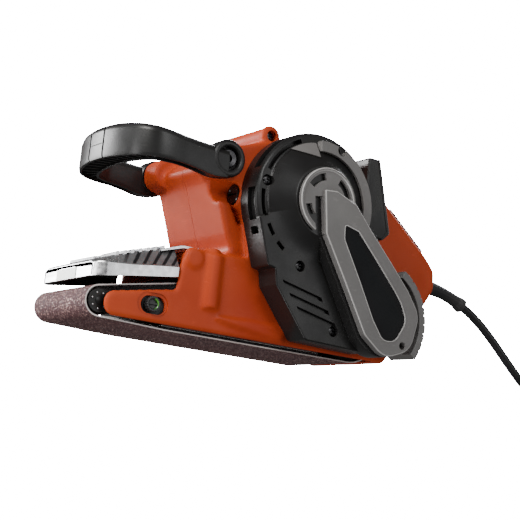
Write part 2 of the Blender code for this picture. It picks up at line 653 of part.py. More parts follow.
def tension_lever(finish):
    """Belt release lever on the open side, swinging outward about an upright pin."""
    pivot = (*LEVER_PIVOT, 12.0)
    outline = hull(circle_points(LEVER_PIVOT, 4.2, 16) + circle_points((-4.0, 41.4), 2.6, 12))
    lever = plate("tension_lever", outline, 8.4, 16.6, finish, pivot=pivot, bevel=0.8)
    cut(lever, drum("lever_bore_tool", (*LEVER_PIVOT, 0.0), 2.2, 0.0, 30.0, axis="Z", sides=12))


def drive_roller_group(rubber, aluminium, steel):
    tube_ring("drive_roller_core", REAR_AXLE, 6.3, 23.7, -35.4, 36.4, aluminium, sides=32)
    turned("drive_roller_sleeve", REAR_AXLE,
           [(24.0, -35.9), (DRIVE_ROLLER_R - 0.8, -35.9), (DRIVE_ROLLER_R, -35.1),
            (DRIVE_ROLLER_R, 36.1), (DRIVE_ROLLER_R - 0.8, 36.9), (24.0, 36.9)], rubber, sides=40)
    drum("drive_shaft", REAR_AXLE, 6.0, -72.6, 38.5, steel, chamfer=0.8)
    tube_ring("roller_bearing_inner", REAR_AXLE, 6.3, 10.9, -40.7, -36.3, steel)
    tube_ring("roller_bearing_outer", REAR_AXLE, 6.3, 10.9, -50.0, -44.8, steel)


# ---------------------------------------------------------------- toothed drive and motor
def toothed_outline(centre, pitch_r, depth, teeth):
    """Saw-toothed circle, a crest and a root for each tooth."""
    points = []
    for i in range(teeth * 2):
        radius = pitch_r if i % 2 == 0 else pitch_r - depth
        angle = math.pi * i / teeth
        points.append((centre[0] + radius * math.cos(angle), centre[1] + radius * math.sin(angle)))
    return points


def toothed_drive(steel, rubber):
    """Small motor pulley, large driven pulley and the belt between them."""
    driver = prism("motor_pulley", toothed_outline(MOTOR_AXIS, MOTOR_PITCH_R, 0.8, MOTOR_TEETH), -71.5, -62.5,
                   steel, pivot=(MOTOR_AXIS[0], 0, MOTOR_AXIS[1]))
    cut(driver, drum("motor_pulley_bore_tool", MOTOR_AXIS, 3.3, -80.0, -55.0, sides=16))
    driven = prism("driven_pulley", toothed_outline(REAR_AXLE, DRIVEN_PITCH_R, 0.8, DRIVEN_TEETH), -71.5,
                   -62.5, steel, pivot=(REAR_AXLE[0], 0, REAR_AXLE[1]))
    cut(driven, drum("driven_pulley_bore_tool", REAR_AXLE, 6.3, -80.0, -55.0))
    outer = hull(circle_points(MOTOR_AXIS, MOTOR_PITCH_R + 2.2, 20)
                 + circle_points(REAR_AXLE, DRIVEN_PITCH_R + 2.2, 32))
    inner = hull(circle_points(MOTOR_AXIS, MOTOR_PITCH_R + 0.3, 20)
                 + circle_points(REAR_AXLE, DRIVEN_PITCH_R + 0.5, 32))
    belt = prism("toothed_belt", outer, *DRIVE_BELT_Y, rubber)
    cut(belt, prism("toothed_belt_inside_tool", inner, -80.0, -55.0))


def motor_group(steel, copper, black, iron):
    turned("motor_shaft", MOTOR_AXIS,
           [(0, -72.6), (3.0, -72.6), (3.0, -61.6), (4.0, -61.6), (4.0, 46.0), (0, 46.0)], steel)
    core = [(4.3, -22.0), (13.0, -22.0), (17.0, -19.0), (20.0, -17.0), (20.0, 12.0), (17.0, 14.0),
            (13.0, 17.0), (4.3, 17.0)]
    turned("armature", MOTOR_AXIS, core, iron, sides=28)
    tube_ring("commutator", MOTOR_AXIS, 4.3, 12.0, -40.2, -27.0, copper)
    tube_ring("stator", MOTOR_AXIS, 21.0, 36.0, -23.0, 17.0, iron, sides=28)
    tube_ring("motor_bearing_near", MOTOR_AXIS, 4.3, 10.9, -50.0, -44.8, steel)
    tube_ring("motor_bearing_far", MOTOR_AXIS, 4.3, 11.0, 39.8, 44.2, steel)
    blade_count = 10
    fan = tube_ring("cooling_fan", MOTOR_AXIS, 4.3, 33.0, -54.4, -52.6, black, sides=30)
    for i in range(blade_count):
        angle = math.tau * i / blade_count
        radial = Vector((math.cos(angle), math.sin(angle)))
        across = Vector((-radial.y, radial.x)) * 0.8
        near = Vector(MOTOR_AXIS) + radial * 13.0
        far = Vector(MOTOR_AXIS) + radial * 32.0 + across * 8
        blade = [tuple(near - across), tuple(near + across), tuple(far + across), tuple(far - across)]
        join(fan, prism(f"fan_blade_{i}_tool", blade, -60.0, -53.5))


def bearing_plate(finish):
    """Flat plate that holds the drive side's two bearings."""
    outline = hull(circle_points(MOTOR_AXIS, 18.5, 28) + circle_points(REAR_AXLE, 18.5, 28))
    holder = prism("bearing_plate", outline, -50.2, -44.5, finish)
    cut(holder, drum("plate_motor_bore_tool", MOTOR_AXIS, 11.2, -60.0, -40.0, sides=24))
    return cut(holder, drum("plate_roller_bore_tool", REAR_AXLE, 11.2, -60.0, -40.0, sides=24))


def brushes(carbon, black):
    for name, low, high in (("front", 12.0, 30.6), ("rear", 55.4, 74.0)):
        box(f"carbon_brush_{name}", (low, -39.6, 98.5), (high, -31.4, 105.5), carbon)
    for name, low, high in (("front", -8.4, -0.5), ("rear", 88.6, 95.2)):
        drum(f"brush_cap_{name}", (0, BRUSH_Y, 102.0), 7.0, low, high, black, axis="X", sides=20,
             chamfer=0.6)


# ---------------------------------------------------------------- front handle and nose guard
def front_handle(finish):
    """U-shaped auxiliary handle: two arms and a bowed front bar, hollow underneath."""
    pivot = (HANDLE_PIVOT[0], 0.0, HANDLE_PIVOT[1])
    side_view = [(-105.0, 113.0, 2.0), (-105.0, 133.5, 2.0), (-86.0, 136.0, 8.0),
                 (-68.0, 131.5, 20.0), (-30.0, 128.5, 0.0), (-30.0, 108.5, 0.0),
                 (-46.0, 108.8, 8.0), (-80.0, 111.0, 6.0)]
    outer = [(-24.0, -54.5, 0.0), (-76.0, -54.5, 15.0), (-90.0, -38.0, 12.0), (-98.5, -8.0, 40.0),
             (-98.5, 8.0, 40.0), (-90.0, 38.0, 12.0), (-76.0, 54.5, 15.0), (-24.0, 54.5, 0.0)]
    inner = [(-24.0, 44.4, 0.0), (-66.0, 44.4, 9.0), (-76.0, 32.0, 9.0), (-79.5, 0.0, 30.0),
             (-76.0, -32.0, 9.0), (-66.0, -44.4, 9.0), (-24.0, -44.4, 0.0)]
    handle = prism("front_handle", rounded(side_view), -54.5, 54.5, finish, pivot=pivot)
    plan = plate("handle_plan_tool", rounded(outer) + rounded(inner), 90.0, 150.0)
    boolean(handle, plan, "INTERSECT")
    for side in (-1, 1):
        near, far = sorted((side * ARM_Y[0], side * ARM_Y[1]))
        join(handle, drum(f"eye_{side}_tool", HANDLE_PIVOT, HANDLE_EYE_R, near, far, sides=28))
    for side in (-1, 1):
        near, far = sorted((side * 49.4, side * 60.0))
        cut(handle, drum(f"eye_seat_{side}_tool", HANDLE_PIVOT, 8.2, near, far, sides=18))
        near, far = sorted((side * 40.0, side * 60.0))
        cut(handle, drum(f"eye_bore_{side}_tool", HANDLE_PIVOT, 3.4, near, far, sides=12))
    channel_out = [(-62.0, -51.5, 0.0), (-74.0, -51.5, 13.0), (-87.0, -37.0, 10.0),
                   (-95.0, -8.0, 40.0), (-95.0, 8.0, 40.0), (-87.0, 37.0, 10.0),
                   (-74.0, 51.5, 13.0), (-62.0, 51.5, 0.0)]
    channel_in = [(-62.0, 47.4, 0.0), (-68.0, 47.4, 9.0), (-79.0, 33.0, 9.0), (-82.5, 0.0, 30.0),
                  (-79.0, -33.0, 9.0), (-68.0, -47.4, 9.0), (-62.0, -47.4, 0.0)]
    cut(handle, plate("channel_tool", rounded(channel_out) + rounded(channel_in), 90.0, 122.0))
    return handle


def handle_screws(finish):
    for side, name in ((-1, "left"), (1, "right")):
        screw(f"handle_screw_{name}", HANDLE_PIVOT, 6.5, side * 53.4, 3.0, side * 32.0, finish)


GUARD_SECTIONS = [(-110.5, 40.0, 27.5, 36.0, 38.0, 37.5), (-104.0, 43.3, 27.5, 37.0, 37.0, 40.0),
                  (-82.0, 44.0, 31.0, 38.5, 33.0, 47.5), (-58.0, 44.0, 34.5, 42.0, 33.0, 54.5),
                  (-48.8, 44.0, 36.0, 43.0, 33.0, 57.6)]


def guard_loft(name, inset, finish=None, pivot=(0.0, 0.0, 0.0)):
    """Sections across the nose guard, each inset by a wall's thickness."""
    rows = []
    for i, (x, side_y, low, band, top_y, top) in enumerate(GUARD_SECTIONS):
        low -= inset * 3
        if inset:
            x += inset if i == 0 else (2.0 if i == len(GUARD_SECTIONS) - 1 else 0.0)
        half = side_y - inset
        crown = top_y - inset * 0.5
        rows.append([(x, -half, low), (x, -half, band - inset * 0.6), (x, -crown, top - inset),
                     (x, crown, top - inset), (x, half, band - inset * 0.6), (x, half, low)])
    return loft(name, rows, finish, pivot)


def nose_guard(finish, insert_finish, steel):
    """Hinged guard over the front of the belt, its rear lip and knuckle inside the housing."""
    pivot = (GUARD_PIVOT[0], 0.0, GUARD_PIVOT[1])
    guard = guard_loft("nose_guard", 0.0, finish, pivot)
    cut(guard, guard_loft("guard_inside_tool", 2.2))
    lip = [(-60.0, 53.8), (-46.0, 58.6), (-43.0, 59.0), (-31.0, 59.2), (-31.0, 57.0), (-43.0, 56.8),
           (-60.0, 51.6)]
    join(guard, prism("guard_lip_tool", lip, -38.0, 38.0))
    join(guard, drum("guard_knuckle_tool", GUARD_PIVOT, 6.2, -11.7, 11.7, sides=24))
    join(guard, box("guard_web_tool", (-42.0, -11.7, 53.0), (-34.0, 11.7, 57.0)))
    cut(guard, drum("guard_bore_tool", GUARD_PIVOT, 2.4, -20.0, 20.0, sides=16))
    cut(guard, box("guard_window_tool", (-115.0, -10.0, 28.8), (-104.0, 14.0, 35.4)))
    box("guard_insert", (-107.9, -12.0, 28.0), (-106.1, 16.0, 34.8), insert_finish, pivot=pivot)
    drum("guard_hinge_pin", GUARD_PIVOT, 2.0, -44.2, 44.2, steel, sides=16)


# ---------------------------------------------------------------- switch, cord and plug
def trigger(finish):
    """Trigger under the grip; it slides up into the handle."""
    spot = Vector((133.0, 95.0))
    half = GRIP_SLOPE * 15.0
    corners = [spot - half - GRIP_UP * 9.0, spot - GRIP_UP * 10.5 - half * 0.2,
               spot + half - GRIP_UP * 9.0, spot + half + GRIP_UP * 6.0, spot - half + GRIP_UP * 6.0]
    return prism("trigger", [tuple(c) for c in corners], -8.2, 8.2, finish, bevel=0.8,
                 pivot=(spot.x, 0.0, spot.y))


def switch_parts(black):
    spot = Vector((133.0, 95.0)) + GRIP_UP * 13.0
    half = GRIP_SLOPE * 10.0
    corners = [spot - half - GRIP_UP * 0.5, spot + half - GRIP_UP * 0.5, spot + half + GRIP_UP * 1.5,
               spot - half + GRIP_UP * 1.5]
    prism("switch_body", [tuple(c) for c in corners], -7.5, 7.5, black)
    turned("lock_button", (126.0, 121.0), [(0, -21.5), (3.6, -21.5), (4.3, -20.6), (4.3, -14.0),
                                           (0, -14.0)], black, sides=20)


def housing_screws(finish):
    """Screws through the tube at the top and through the barrels' lower neighbours."""
    screw("housing_screw_left", TUBE_CENTRE, 3.5, -39.5, 0.0, -35.0, finish)
    screw("housing_screw_right", TUBE_CENTRE, 3.5, 39.5, 0.0, 35.0, finish)


RELIEF_RINGS = [(181.0, 6.0), (200.0, 6.0), (206.0, 5.6), (214.0, 5.2), (222.0, 4.9), (230.0, 4.8),
                (236.0, 5.1), (239.0, 5.9), (242.0, 6.1)]
RELIEF_STRAIGHT_TO = 200.0
RELIEF_DROOP = 0.0052


def strain_relief(finish):
    """Tapered rubber sleeve that carries the cord out of the handle and droops a little."""
    sections = []
    for x, radius in RELIEF_RINGS:
        past = max(0.0, x - RELIEF_STRAIGHT_TO)
        slope = math.atan(2 * RELIEF_DROOP * past)
        height = 76.0 - RELIEF_DROOP * past * past
        ring = []
        for i in range(20):
            angle = math.tau * i / 20
            side = radius * math.cos(angle)
            up = radius * math.sin(angle)
            ring.append((x + up * math.sin(slope), side, height + up * math.cos(slope)))
        sections.append(ring)
    return loft("strain_relief", sections, finish, pivot=(181.0, 0.0, 76.0))


# The cord leaves the sleeve, drops in a free curve to the surface and runs into the coil.
LEAD_ROUTE = [(242.6, 0.0, 66.6), (253.0, 0.0, 61.6), (264.0, -0.5, 54.6), (275.0, -1.2, 46.0),
              (286.0, -2.0, 36.2), (297.0, -2.8, 26.2), (308.0, -3.3, 16.8), (319.0, -3.2, 9.4),
              (331.0, -2.2, 4.9), (343.0, -0.9, 3.6), (354.5, 0.0, 3.6)]
TAIL_ROUTE = [(431.5, -74.6, 3.6), (428.6, -81.0, 4.1), (426.4, -88.0, 5.4), (425.0, -95.0, 6.6),
              (424.6, -101.7, 7.2)]
PLUG_BACK = (424.6, -102.3)


def cord(finish):
    """Mains cord: the lead, the coil's outer shape, the tail and the plug on it."""
    cord_tube("cord_lead", smooth_route(LEAD_ROUTE, 8.0), CORD_R, finish)
    inner = COIL_TURN_R[0] - CORD_R
    outer = COIL_TURN_R[-1] + CORD_R
    mid = (inner + outer) / 2
    turned("cord_coil", COIL_CENTRE,
           [(inner, 0.0), (outer, 0.0), (outer, 14.0), (mid + CORD_R, 14.2), (mid + CORD_R, 21.0),
            (mid - CORD_R, 21.0), (mid - CORD_R, 14.2), (inner, 14.0)], finish, axis="Z", sides=28)
    cord_tube("cord_tail", smooth_route(TAIL_ROUTE, 8.0), CORD_R, finish)
    plug(finish)


def plug(finish):
    """Two-pin plug lying beside the coil, its flat body on the surface."""
    body = [(0.0, 8.0), (3.0, 12.5), (10.0, 14.5), (26.0, 14.5), (30.0, 12.0), (30.0, -12.0),
            (26.0, -14.5), (10.0, -14.5), (3.0, -12.5), (0.0, -8.0)]
    outline = [(PLUG_BACK[0] + side, PLUG_BACK[1] - along) for along, side in body]
    made = plate("mains_plug", outline, 0.2, 14.2, finish, bevel=2.0)
    for side in (-9.5, 9.5):
        x = PLUG_BACK[0] + side
        join(made, drum(f"pin_{int(side)}_tool", (x, 7.2), 2.0, PLUG_BACK[1] - 48.0,
                        PLUG_BACK[1] - 25.0, sides=10))
    return made


def main():
    for old in list(bpy.data.objects):
        bpy.data.objects.remove(old, do_unlink=True)
    orange = material("orange_plastic", ORANGE, 0.42)
    black = material("black_plastic", BLACK, 0.45)
    grey = material("grey_plastic", GREY, 0.4)
    rubber = material("black_rubber", (0.02, 0.02, 0.02), 0.75)
    silver = material("silver_guard", ALUMINIUM, 0.3, 1.0)
    steel = material("bright_steel", STEEL, 0.3, 1.0)
    cast = material("cast_aluminium", (0.5, 0.5, 0.51), 0.5, 1.0)
    grit = material("abrasive_cloth", (0.14, 0.045, 0.045), 0.9)
    copper = material("copper", (0.72, 0.35, 0.2), 0.35, 1.0)
    iron = material("laminated_iron", (0.2, 0.2, 0.21), 0.55, 1.0)
    carbon = material("carbon", (0.03, 0.03, 0.03), 0.6)
    graphite = material("graphite_cloth", (0.05, 0.05, 0.055), 0.7)
    insert = material("insert_plastic", (0.35, 0.38, 0.28), 0.35)
    housing_left(orange)
    housing_right(orange)
    soft_grip(rubber)
    dust_outlet(black)
    drive_cover_base(black)
    drive_cover_frame(grey)
    rear_band(grey)
    cover_panel(black)
    cover_disc(grey)
    cover_screws(steel)
    sanding_belt(grit)
    base_frame(cast)
    platen(steel, graphite)
    front_roller_group(black, steel, steel)
    tracking_knob(black)
    tension_lever(black)
    drive_roller_group(rubber, cast, steel)
    toothed_drive(steel, rubber)
    motor_group(steel, copper, black, iron)
    bearing_plate(cast)
    brushes(carbon, black)
    front_handle(black)
    handle_screws(steel)
    nose_guard(silver, insert, steel)
    trigger(black)
    switch_parts(black)
    housing_screws(steel)
    strain_relief(rubber)
    cord(rubber)


main()
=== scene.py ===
# %% [markdown]
# A handheld belt sander, rebuilt piece by piece. The imported model gives every solid its place, so this
# lesson first loads it and then dresses it: some solids only get a better finish, and others give way
# to a more detailed piece that fills the same space.

# %% Load the imported model
import math
import bmesh
import bpy
from mathutils import Matrix, Vector


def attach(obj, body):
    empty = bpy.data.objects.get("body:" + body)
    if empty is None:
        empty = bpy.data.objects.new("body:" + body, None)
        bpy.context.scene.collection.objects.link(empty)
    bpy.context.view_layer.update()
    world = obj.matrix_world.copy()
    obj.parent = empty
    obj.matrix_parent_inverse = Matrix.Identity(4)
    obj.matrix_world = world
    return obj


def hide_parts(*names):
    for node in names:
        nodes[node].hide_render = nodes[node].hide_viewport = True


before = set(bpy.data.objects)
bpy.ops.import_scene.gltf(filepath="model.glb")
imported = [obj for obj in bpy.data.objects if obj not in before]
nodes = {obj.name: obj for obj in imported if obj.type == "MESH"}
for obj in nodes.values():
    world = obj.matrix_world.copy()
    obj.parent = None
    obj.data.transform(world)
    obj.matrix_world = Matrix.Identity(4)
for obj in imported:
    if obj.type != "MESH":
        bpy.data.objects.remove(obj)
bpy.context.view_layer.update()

# %% [markdown]
# The camera stands low in front of the drive cover side and looks slightly upwards, so the underside
# of the belt and the arch of the front handle both show. It is placed first, because the cord has to
# run out of its view before it is coiled. A camera looks along its own -Z, so its matrix is built from
# three directions: to the right, up, and backwards.

# %% Camera
YAW, PITCH, ROLL = math.radians(33.58), math.radians(10.14), math.radians(5.74)
CAMERA_SPOT = Vector((-0.4871, -0.7992, -0.1032))
ahead = Vector((math.sin(YAW) * math.cos(PITCH), math.cos(YAW) * math.cos(PITCH), math.sin(PITCH)))
level = Vector((math.cos(YAW), -math.sin(YAW), 0.0))
lift = level.cross(ahead)
right = level * math.cos(ROLL) + lift * math.sin(ROLL)
up = lift * math.cos(ROLL) - level * math.sin(ROLL)
lens = bpy.data.cameras.new("sander_camera")
lens.lens = 92.6
lens.sensor_width = 36.0
lens.clip_start = 0.01
camera = bpy.data.objects.new("sander_camera", lens)
bpy.context.scene.collection.objects.link(camera)
turn = Matrix((right, up, -ahead)).transposed()
camera.matrix_world = Matrix.Translation(CAMERA_SPOT) @ turn.to_4x4()
bpy.context.scene.camera = camera
print("camera looks along", [round(v, 3) for v in ahead])

# %% [markdown]
# Every finish is a small node tree that reads Object coordinates, in metres, so a pattern keeps its
# real size on every piece. These helpers keep the trees short: one makes the material, one adds a
# noise pattern, one turns a pattern into a colour between two, and one turns it into a bump.

# %% Helpers for finishes
def start_finish(name, rough, metal=0.0):
    made = bpy.data.materials.new(name)
    made.use_nodes = True
    tree = made.node_tree
    shader = tree.nodes["Principled BSDF"]
    shader.inputs["Roughness"].default_value = rough
    shader.inputs["Metallic"].default_value = metal
    place = tree.nodes.new("ShaderNodeTexCoord")
    return made, tree, shader, place.outputs["Object"]


def noise(tree, place, scale, detail=3.0, stretch=(1.0, 1.0, 1.0)):
    mapping = tree.nodes.new("ShaderNodeMapping")
    mapping.inputs["Scale"].default_value = stretch
    tree.links.new(place, mapping.inputs["Vector"])
    pattern = tree.nodes.new("ShaderNodeTexNoise")
    pattern.inputs["Scale"].default_value = scale
    pattern.inputs["Detail"].default_value = detail
    tree.links.new(mapping.outputs["Vector"], pattern.inputs["Vector"])
    return pattern.outputs["Fac"]


def spread(tree, value, low, high, out_low, out_high):
    band = tree.nodes.new("ShaderNodeMapRange")
    for socket, number in zip(("From Min", "From Max", "To Min", "To Max"), (low, high, out_low, out_high)):
        band.inputs[socket].default_value = number
    tree.links.new(value, band.inputs["Value"])
    return band.outputs["Result"]


def blend_colours(tree, value, first, second):
    mix = tree.nodes.new("ShaderNodeMix")
    mix.data_type = "RGBA"
    for socket, colour in ((6, first), (7, second)):
        if isinstance(colour, tuple):
            mix.inputs[socket].default_value = (*colour, 1.0)
        else:
            tree.links.new(colour, mix.inputs[socket])
    tree.links.new(value, mix.inputs[0])
    return mix.outputs[2]


def relief(tree, shader, value, strength, depth, under=None):
    bump = tree.nodes.new("ShaderNodeBump")
    bump.inputs["Strength"].default_value = strength
    bump.inputs["Distance"].default_value = depth
    tree.links.new(value, bump.inputs["Height"])
    if under is not None:
        tree.links.new(under, bump.inputs["Normal"])
    tree.links.new(bump.outputs["Normal"], shader.inputs["Normal"])
    return bump.outputs["Normal"]


print("finish helpers ready")

# %% [markdown]
# Moulded plastic has a fine spark-eroded grain, a slow drift of tone, faint rubs where it was handled
# and a roughness that isn't quite even. One recipe gives the orange body, the black trim and the grey
# cover frame, each with its own colours and gloss.

# %% Moulded plastics
def moulded(name, colour, deep, rough, grain=0.12, rub=0.25, gloss_spread=0.08, shine=0.5):
    made, tree, shader, place = start_finish(name, rough)
    shader.inputs["Specular IOR Level"].default_value = shine
    drift = noise(tree, place, 14.0, 4.0)
    tone = blend_colours(tree, spread(tree, drift, 0.35, 0.68, 0.0, 1.0), colour, deep)
    scuff = noise(tree, place, 130.0, 6.0, (1.0, 0.35, 2.4))
    pale = tuple(min(1.0, c * 1.5 + 0.02) for c in colour)
    tone = blend_colours(tree, spread(tree, scuff, 0.63, 0.78, 0.0, rub), tone, pale)
    tree.links.new(tone, shader.inputs["Base Color"])
    patchy = noise(tree, place, 45.0, 5.0)
    tree.links.new(spread(tree, patchy, 0.3, 0.7, rough - gloss_spread, rough + gloss_spread),
                   shader.inputs["Roughness"])
    skin = noise(tree, place, 1900.0, 2.0)
    relief(tree, shader, skin, grain, 0.00015)
    return made


orange_plastic = moulded("orange_moulded_plastic", (0.52, 0.064, 0.017), (0.4, 0.04, 0.011), 0.47,
                         shine=0.2)
black_plastic = moulded("black_moulded_plastic", (0.01, 0.0095, 0.0095), (0.015, 0.0145, 0.0145), 0.33, 0.14,
                        shine=0.34)
gloss_black = moulded("glossy_black_plastic", (0.007, 0.007, 0.007), (0.01, 0.01, 0.01), 0.16, 0.04, 0.1,
                      0.04)
grey_plastic = moulded("grey_moulded_plastic", (0.17, 0.163, 0.158), (0.135, 0.13, 0.127), 0.42, 0.2, 0.35)
# A brighter grey, painted on narrow rounded edge faces as a highlight.
edge_highlight_grey = moulded("painted_highlight_grey", (0.5, 0.49, 0.48), (0.36, 0.35, 0.34), 0.3, 0.05, 0.3)
# The base frame is coloured near-black so that the space seen through the knob's window is dark: painted
# shade.
frame_darkened_as_shade = moulded("frame_darkened_as_shade", (0.02, 0.02, 0.021), (0.035, 0.034, 0.033), 0.5, 0.5, 0.3, shine=0.3)
label_plastic = moulded("smooth_black_label", (0.006, 0.006, 0.007), (0.011, 0.011, 0.012), 0.45, 0.04, 0.1,
                        shine=0.1)
fan_plastic = moulded("fan_plastic", (0.03, 0.028, 0.026), (0.045, 0.04, 0.036), 0.5, 0.2)
button_plastic = moulded("dark_button_plastic", (0.02, 0.02, 0.02), (0.03, 0.03, 0.03), 0.42, 0.2)
print("plastics:", orange_plastic.name, black_plastic.name, grey_plastic.name)

# %% [markdown]
# Rubber scatters light softly and shows a matte, slightly dusty skin. The cord's sheath has the same
# recipe with a finer, shinier surface, as extruded cable has.

# %% Rubber
def rubbery(name, colour, dust, rough, grain, scale):
    made, tree, shader, place = start_finish(name, rough)
    patch = noise(tree, place, 60.0, 6.0)
    tone = blend_colours(tree, spread(tree, patch, 0.45, 0.8, 0.0, 0.6), colour, dust)
    tree.links.new(tone, shader.inputs["Base Color"])
    tree.links.new(spread(tree, noise(tree, place, 90.0), 0.3, 0.7, rough - 0.1, rough + 0.08),
                   shader.inputs["Roughness"])
    relief(tree, shader, noise(tree, place, scale, 3.0), grain, 0.0002)
    return made


black_rubber = rubbery("black_rubber", (0.014, 0.014, 0.015), (0.05, 0.048, 0.045), 0.62, 0.25, 1400.0)
cord_sheath = rubbery("cord_sheath", (0.014, 0.014, 0.015), (0.025, 0.025, 0.025), 0.3, 0.12, 900.0)
roller_rubber = rubbery("roller_rubber", (0.02, 0.019, 0.018), (0.09, 0.075, 0.06), 0.7, 0.5, 700.0)
print("rubbers:", black_rubber.name, cord_sheath.name, roller_rubber.name)

# %% [markdown]
# Metals get their look from what is around them, so their trees shape the roughness more than the
# colour. Ground steel has fine scratches along one direction, a cast piece has an orange-peel skin, and
# a polished guard is nearly smooth.

# %% Metals
def metallic(name, colour, tarnish, rough, lay, scale, scratch, depth=0.00008):
    made, tree, shader, place = start_finish(name, rough, 1.0)
    cloud = noise(tree, place, 35.0, 5.0)
    tone = blend_colours(tree, spread(tree, cloud, 0.4, 0.75, 0.0, 0.7), colour, tarnish)
    tree.links.new(tone, shader.inputs["Base Color"])
    lines = noise(tree, place, scale, 4.0, lay)
    tree.links.new(spread(tree, lines, 0.3, 0.7, rough - 0.1, rough + 0.12), shader.inputs["Roughness"])
    relief(tree, shader, lines, scratch, depth)
    return made


ground_steel = metallic("ground_steel", (0.56, 0.56, 0.57), (0.4, 0.39, 0.37), 0.3, (1.0, 0.05, 1.0),
                        1500.0, 0.2)
sheet_steel = metallic("sheet_steel", (0.5, 0.5, 0.51), (0.33, 0.3, 0.27), 0.34, (0.05, 1.0, 1.0), 1200.0,
                       0.25)
screw_steel = metallic("blackened_screw_steel", (0.09, 0.09, 0.095), (0.05, 0.048, 0.046), 0.32,
                       (1.0, 1.0, 1.0), 800.0, 0.2)
cast_alloy = metallic("cast_alloy", (0.5, 0.5, 0.5), (0.36, 0.35, 0.34), 0.5, (1.0, 1.0, 1.0), 420.0, 0.6,
                      0.0003)
guard_alloy = metallic("polished_guard_alloy", (0.86, 0.865, 0.88), (0.78, 0.78, 0.8), 0.3,
                       (1.0, 0.1, 1.0), 300.0, 0.02, 0.00001)


# %% [markdown]
# The guard's sloping roof is duller than its polished band, and slanting marks cross it where the
# fingers rest. A Wave pattern gives the marks, and a ramp along the machine lets them fade to the front.

# %% Guard roof
def ribbed_alloy(name, colour, mark):
    made, tree, shader, place = start_finish(name, 0.42, 0.9)
    turned = tree.nodes.new("ShaderNodeMapping")
    turned.inputs["Rotation"].default_value = (0.0, math.radians(-38.0), 0.0)
    tree.links.new(place, turned.inputs["Vector"])
    bands = tree.nodes.new("ShaderNodeTexWave")
    bands.inputs["Scale"].default_value = 62.0
    bands.inputs["Distortion"].default_value = 0.6
    tree.links.new(turned.outputs["Vector"], bands.inputs["Vector"])
    parts = tree.nodes.new("ShaderNodeSeparateXYZ")
    tree.links.new(place, parts.inputs["Vector"])
    fade = spread(tree, parts.outputs["X"], -0.094, -0.082, 0.0, 1.0)
    both = tree.nodes.new("ShaderNodeMath")
    both.operation = "MULTIPLY"
    tree.links.new(spread(tree, bands.outputs["Fac"], 0.55, 0.85, 0.0, 1.0), both.inputs[0])
    tree.links.new(fade, both.inputs[1])
    cloud = blend_colours(tree, spread(tree, noise(tree, place, 60.0, 4.0), 0.35, 0.7, 0.0, 1.0), colour,
                          tuple(c * 0.8 for c in colour))
    tree.links.new(blend_colours(tree, both.outputs[0], cloud, mark), shader.inputs["Base Color"])
    brushed = noise(tree, place, 500.0, 3.0, (1.0, 0.08, 1.0))
    tree.links.new(spread(tree, brushed, 0.3, 0.7, 0.36, 0.5), shader.inputs["Roughness"])
    return made


guard_roof = ribbed_alloy("brushed_guard_roof", (0.45, 0.455, 0.47), (0.05, 0.052, 0.058))
copper = metallic("turned_copper", (0.78, 0.36, 0.2), (0.45, 0.2, 0.12), 0.3, (1.0, 0.08, 1.0), 1500.0, 0.2)
iron = metallic("laminated_iron", (0.22, 0.22, 0.23), (0.15, 0.12, 0.1), 0.5, (0.1, 6.0, 0.1), 260.0, 0.7,
                0.0003)
carbon_block = rubbery("carbon_block", (0.02, 0.02, 0.021), (0.04, 0.04, 0.042), 0.5, 0.4, 1600.0)
print("metals:", ground_steel.name, cast_alloy.name, guard_alloy.name)

# %% [markdown]
# A sanding belt is cloth with mineral grains glued on. The grains are a Voronoi pattern half a
# millimetre wide: each cell is a grain, a few are pale and shiny, and the height between cells gives
# the sparkle as the belt turns round the nose. The cut edge of the cloth is pale.

# %% Abrasive cloth
def abrasive(name, colour, deep, glint, size):
    made, tree, shader, place = start_finish(name, 0.72)
    cells = tree.nodes.new("ShaderNodeTexVoronoi")
    cells.inputs["Scale"].default_value = size
    tree.links.new(place, cells.inputs["Vector"])
    tint = tree.nodes.new("ShaderNodeSeparateColor")
    tree.links.new(cells.outputs["Color"], tint.inputs["Color"])
    wear = noise(tree, place, 18.0, 5.0)
    tone = blend_colours(tree, spread(tree, wear, 0.3, 0.7, 0.0, 1.0), colour, deep)
    tone = blend_colours(tree, spread(tree, tint.outputs["Green"], 0.0, 1.0, 0.0, 0.55), tone, deep)
    tone = blend_colours(tree, spread(tree, tint.outputs["Red"], 0.86, 0.93, 0.0, 0.85), tone, glint)
    tree.links.new(tone, shader.inputs["Base Color"])
    tree.links.new(spread(tree, tint.outputs["Red"], 0.6, 0.95, 0.75, 0.22), shader.inputs["Roughness"])
    relief(tree, shader, cells.outputs["Distance"], 1.0, 0.0005)
    return made


sanding_cloth = abrasive("sanding_cloth", (0.13, 0.046, 0.047), (0.07, 0.025, 0.029), (0.8, 0.5, 0.45),
                         1350.0)
graphite_cloth = abrasive("graphite_cloth", (0.045, 0.045, 0.05), (0.03, 0.03, 0.033), (0.12, 0.12, 0.13),
                          900.0)
cloth_edge = moulded("cut_cloth_edge", (0.78, 0.72, 0.7), (0.55, 0.47, 0.45), 0.7, 0.6, 0.5)
print("cloths:", sanding_cloth.name, graphite_cloth.name)

# %% [markdown]
# The small window in the guard is a greenish plastic, and the tracking knob has an insert in a
# brighter green. A soft cloud of two tones under a clear coat gives both some depth.

# %% Tinted plastics
def tinted(name, colour, deep):
    made, tree, shader, place = start_finish(name, 0.22)
    cloud = noise(tree, place, 160.0, 4.0)
    tone = blend_colours(tree, spread(tree, cloud, 0.3, 0.7, 0.0, 1.0), colour, deep)
    tree.links.new(tone, shader.inputs["Base Color"])
    shader.inputs["Coat Weight"].default_value = 0.6
    shader.inputs["Coat Roughness"].default_value = 0.1
    relief(tree, shader, noise(tree, place, 600.0), 0.1, 0.0002)
    return made


window_plastic = tinted("window_plastic", (0.36, 0.39, 0.29), (0.2, 0.22, 0.16))
knob_plastic = tinted("knob_plastic", (0.12, 0.42, 0.05), (0.03, 0.12, 0.02))
print("window:", window_plastic.name)

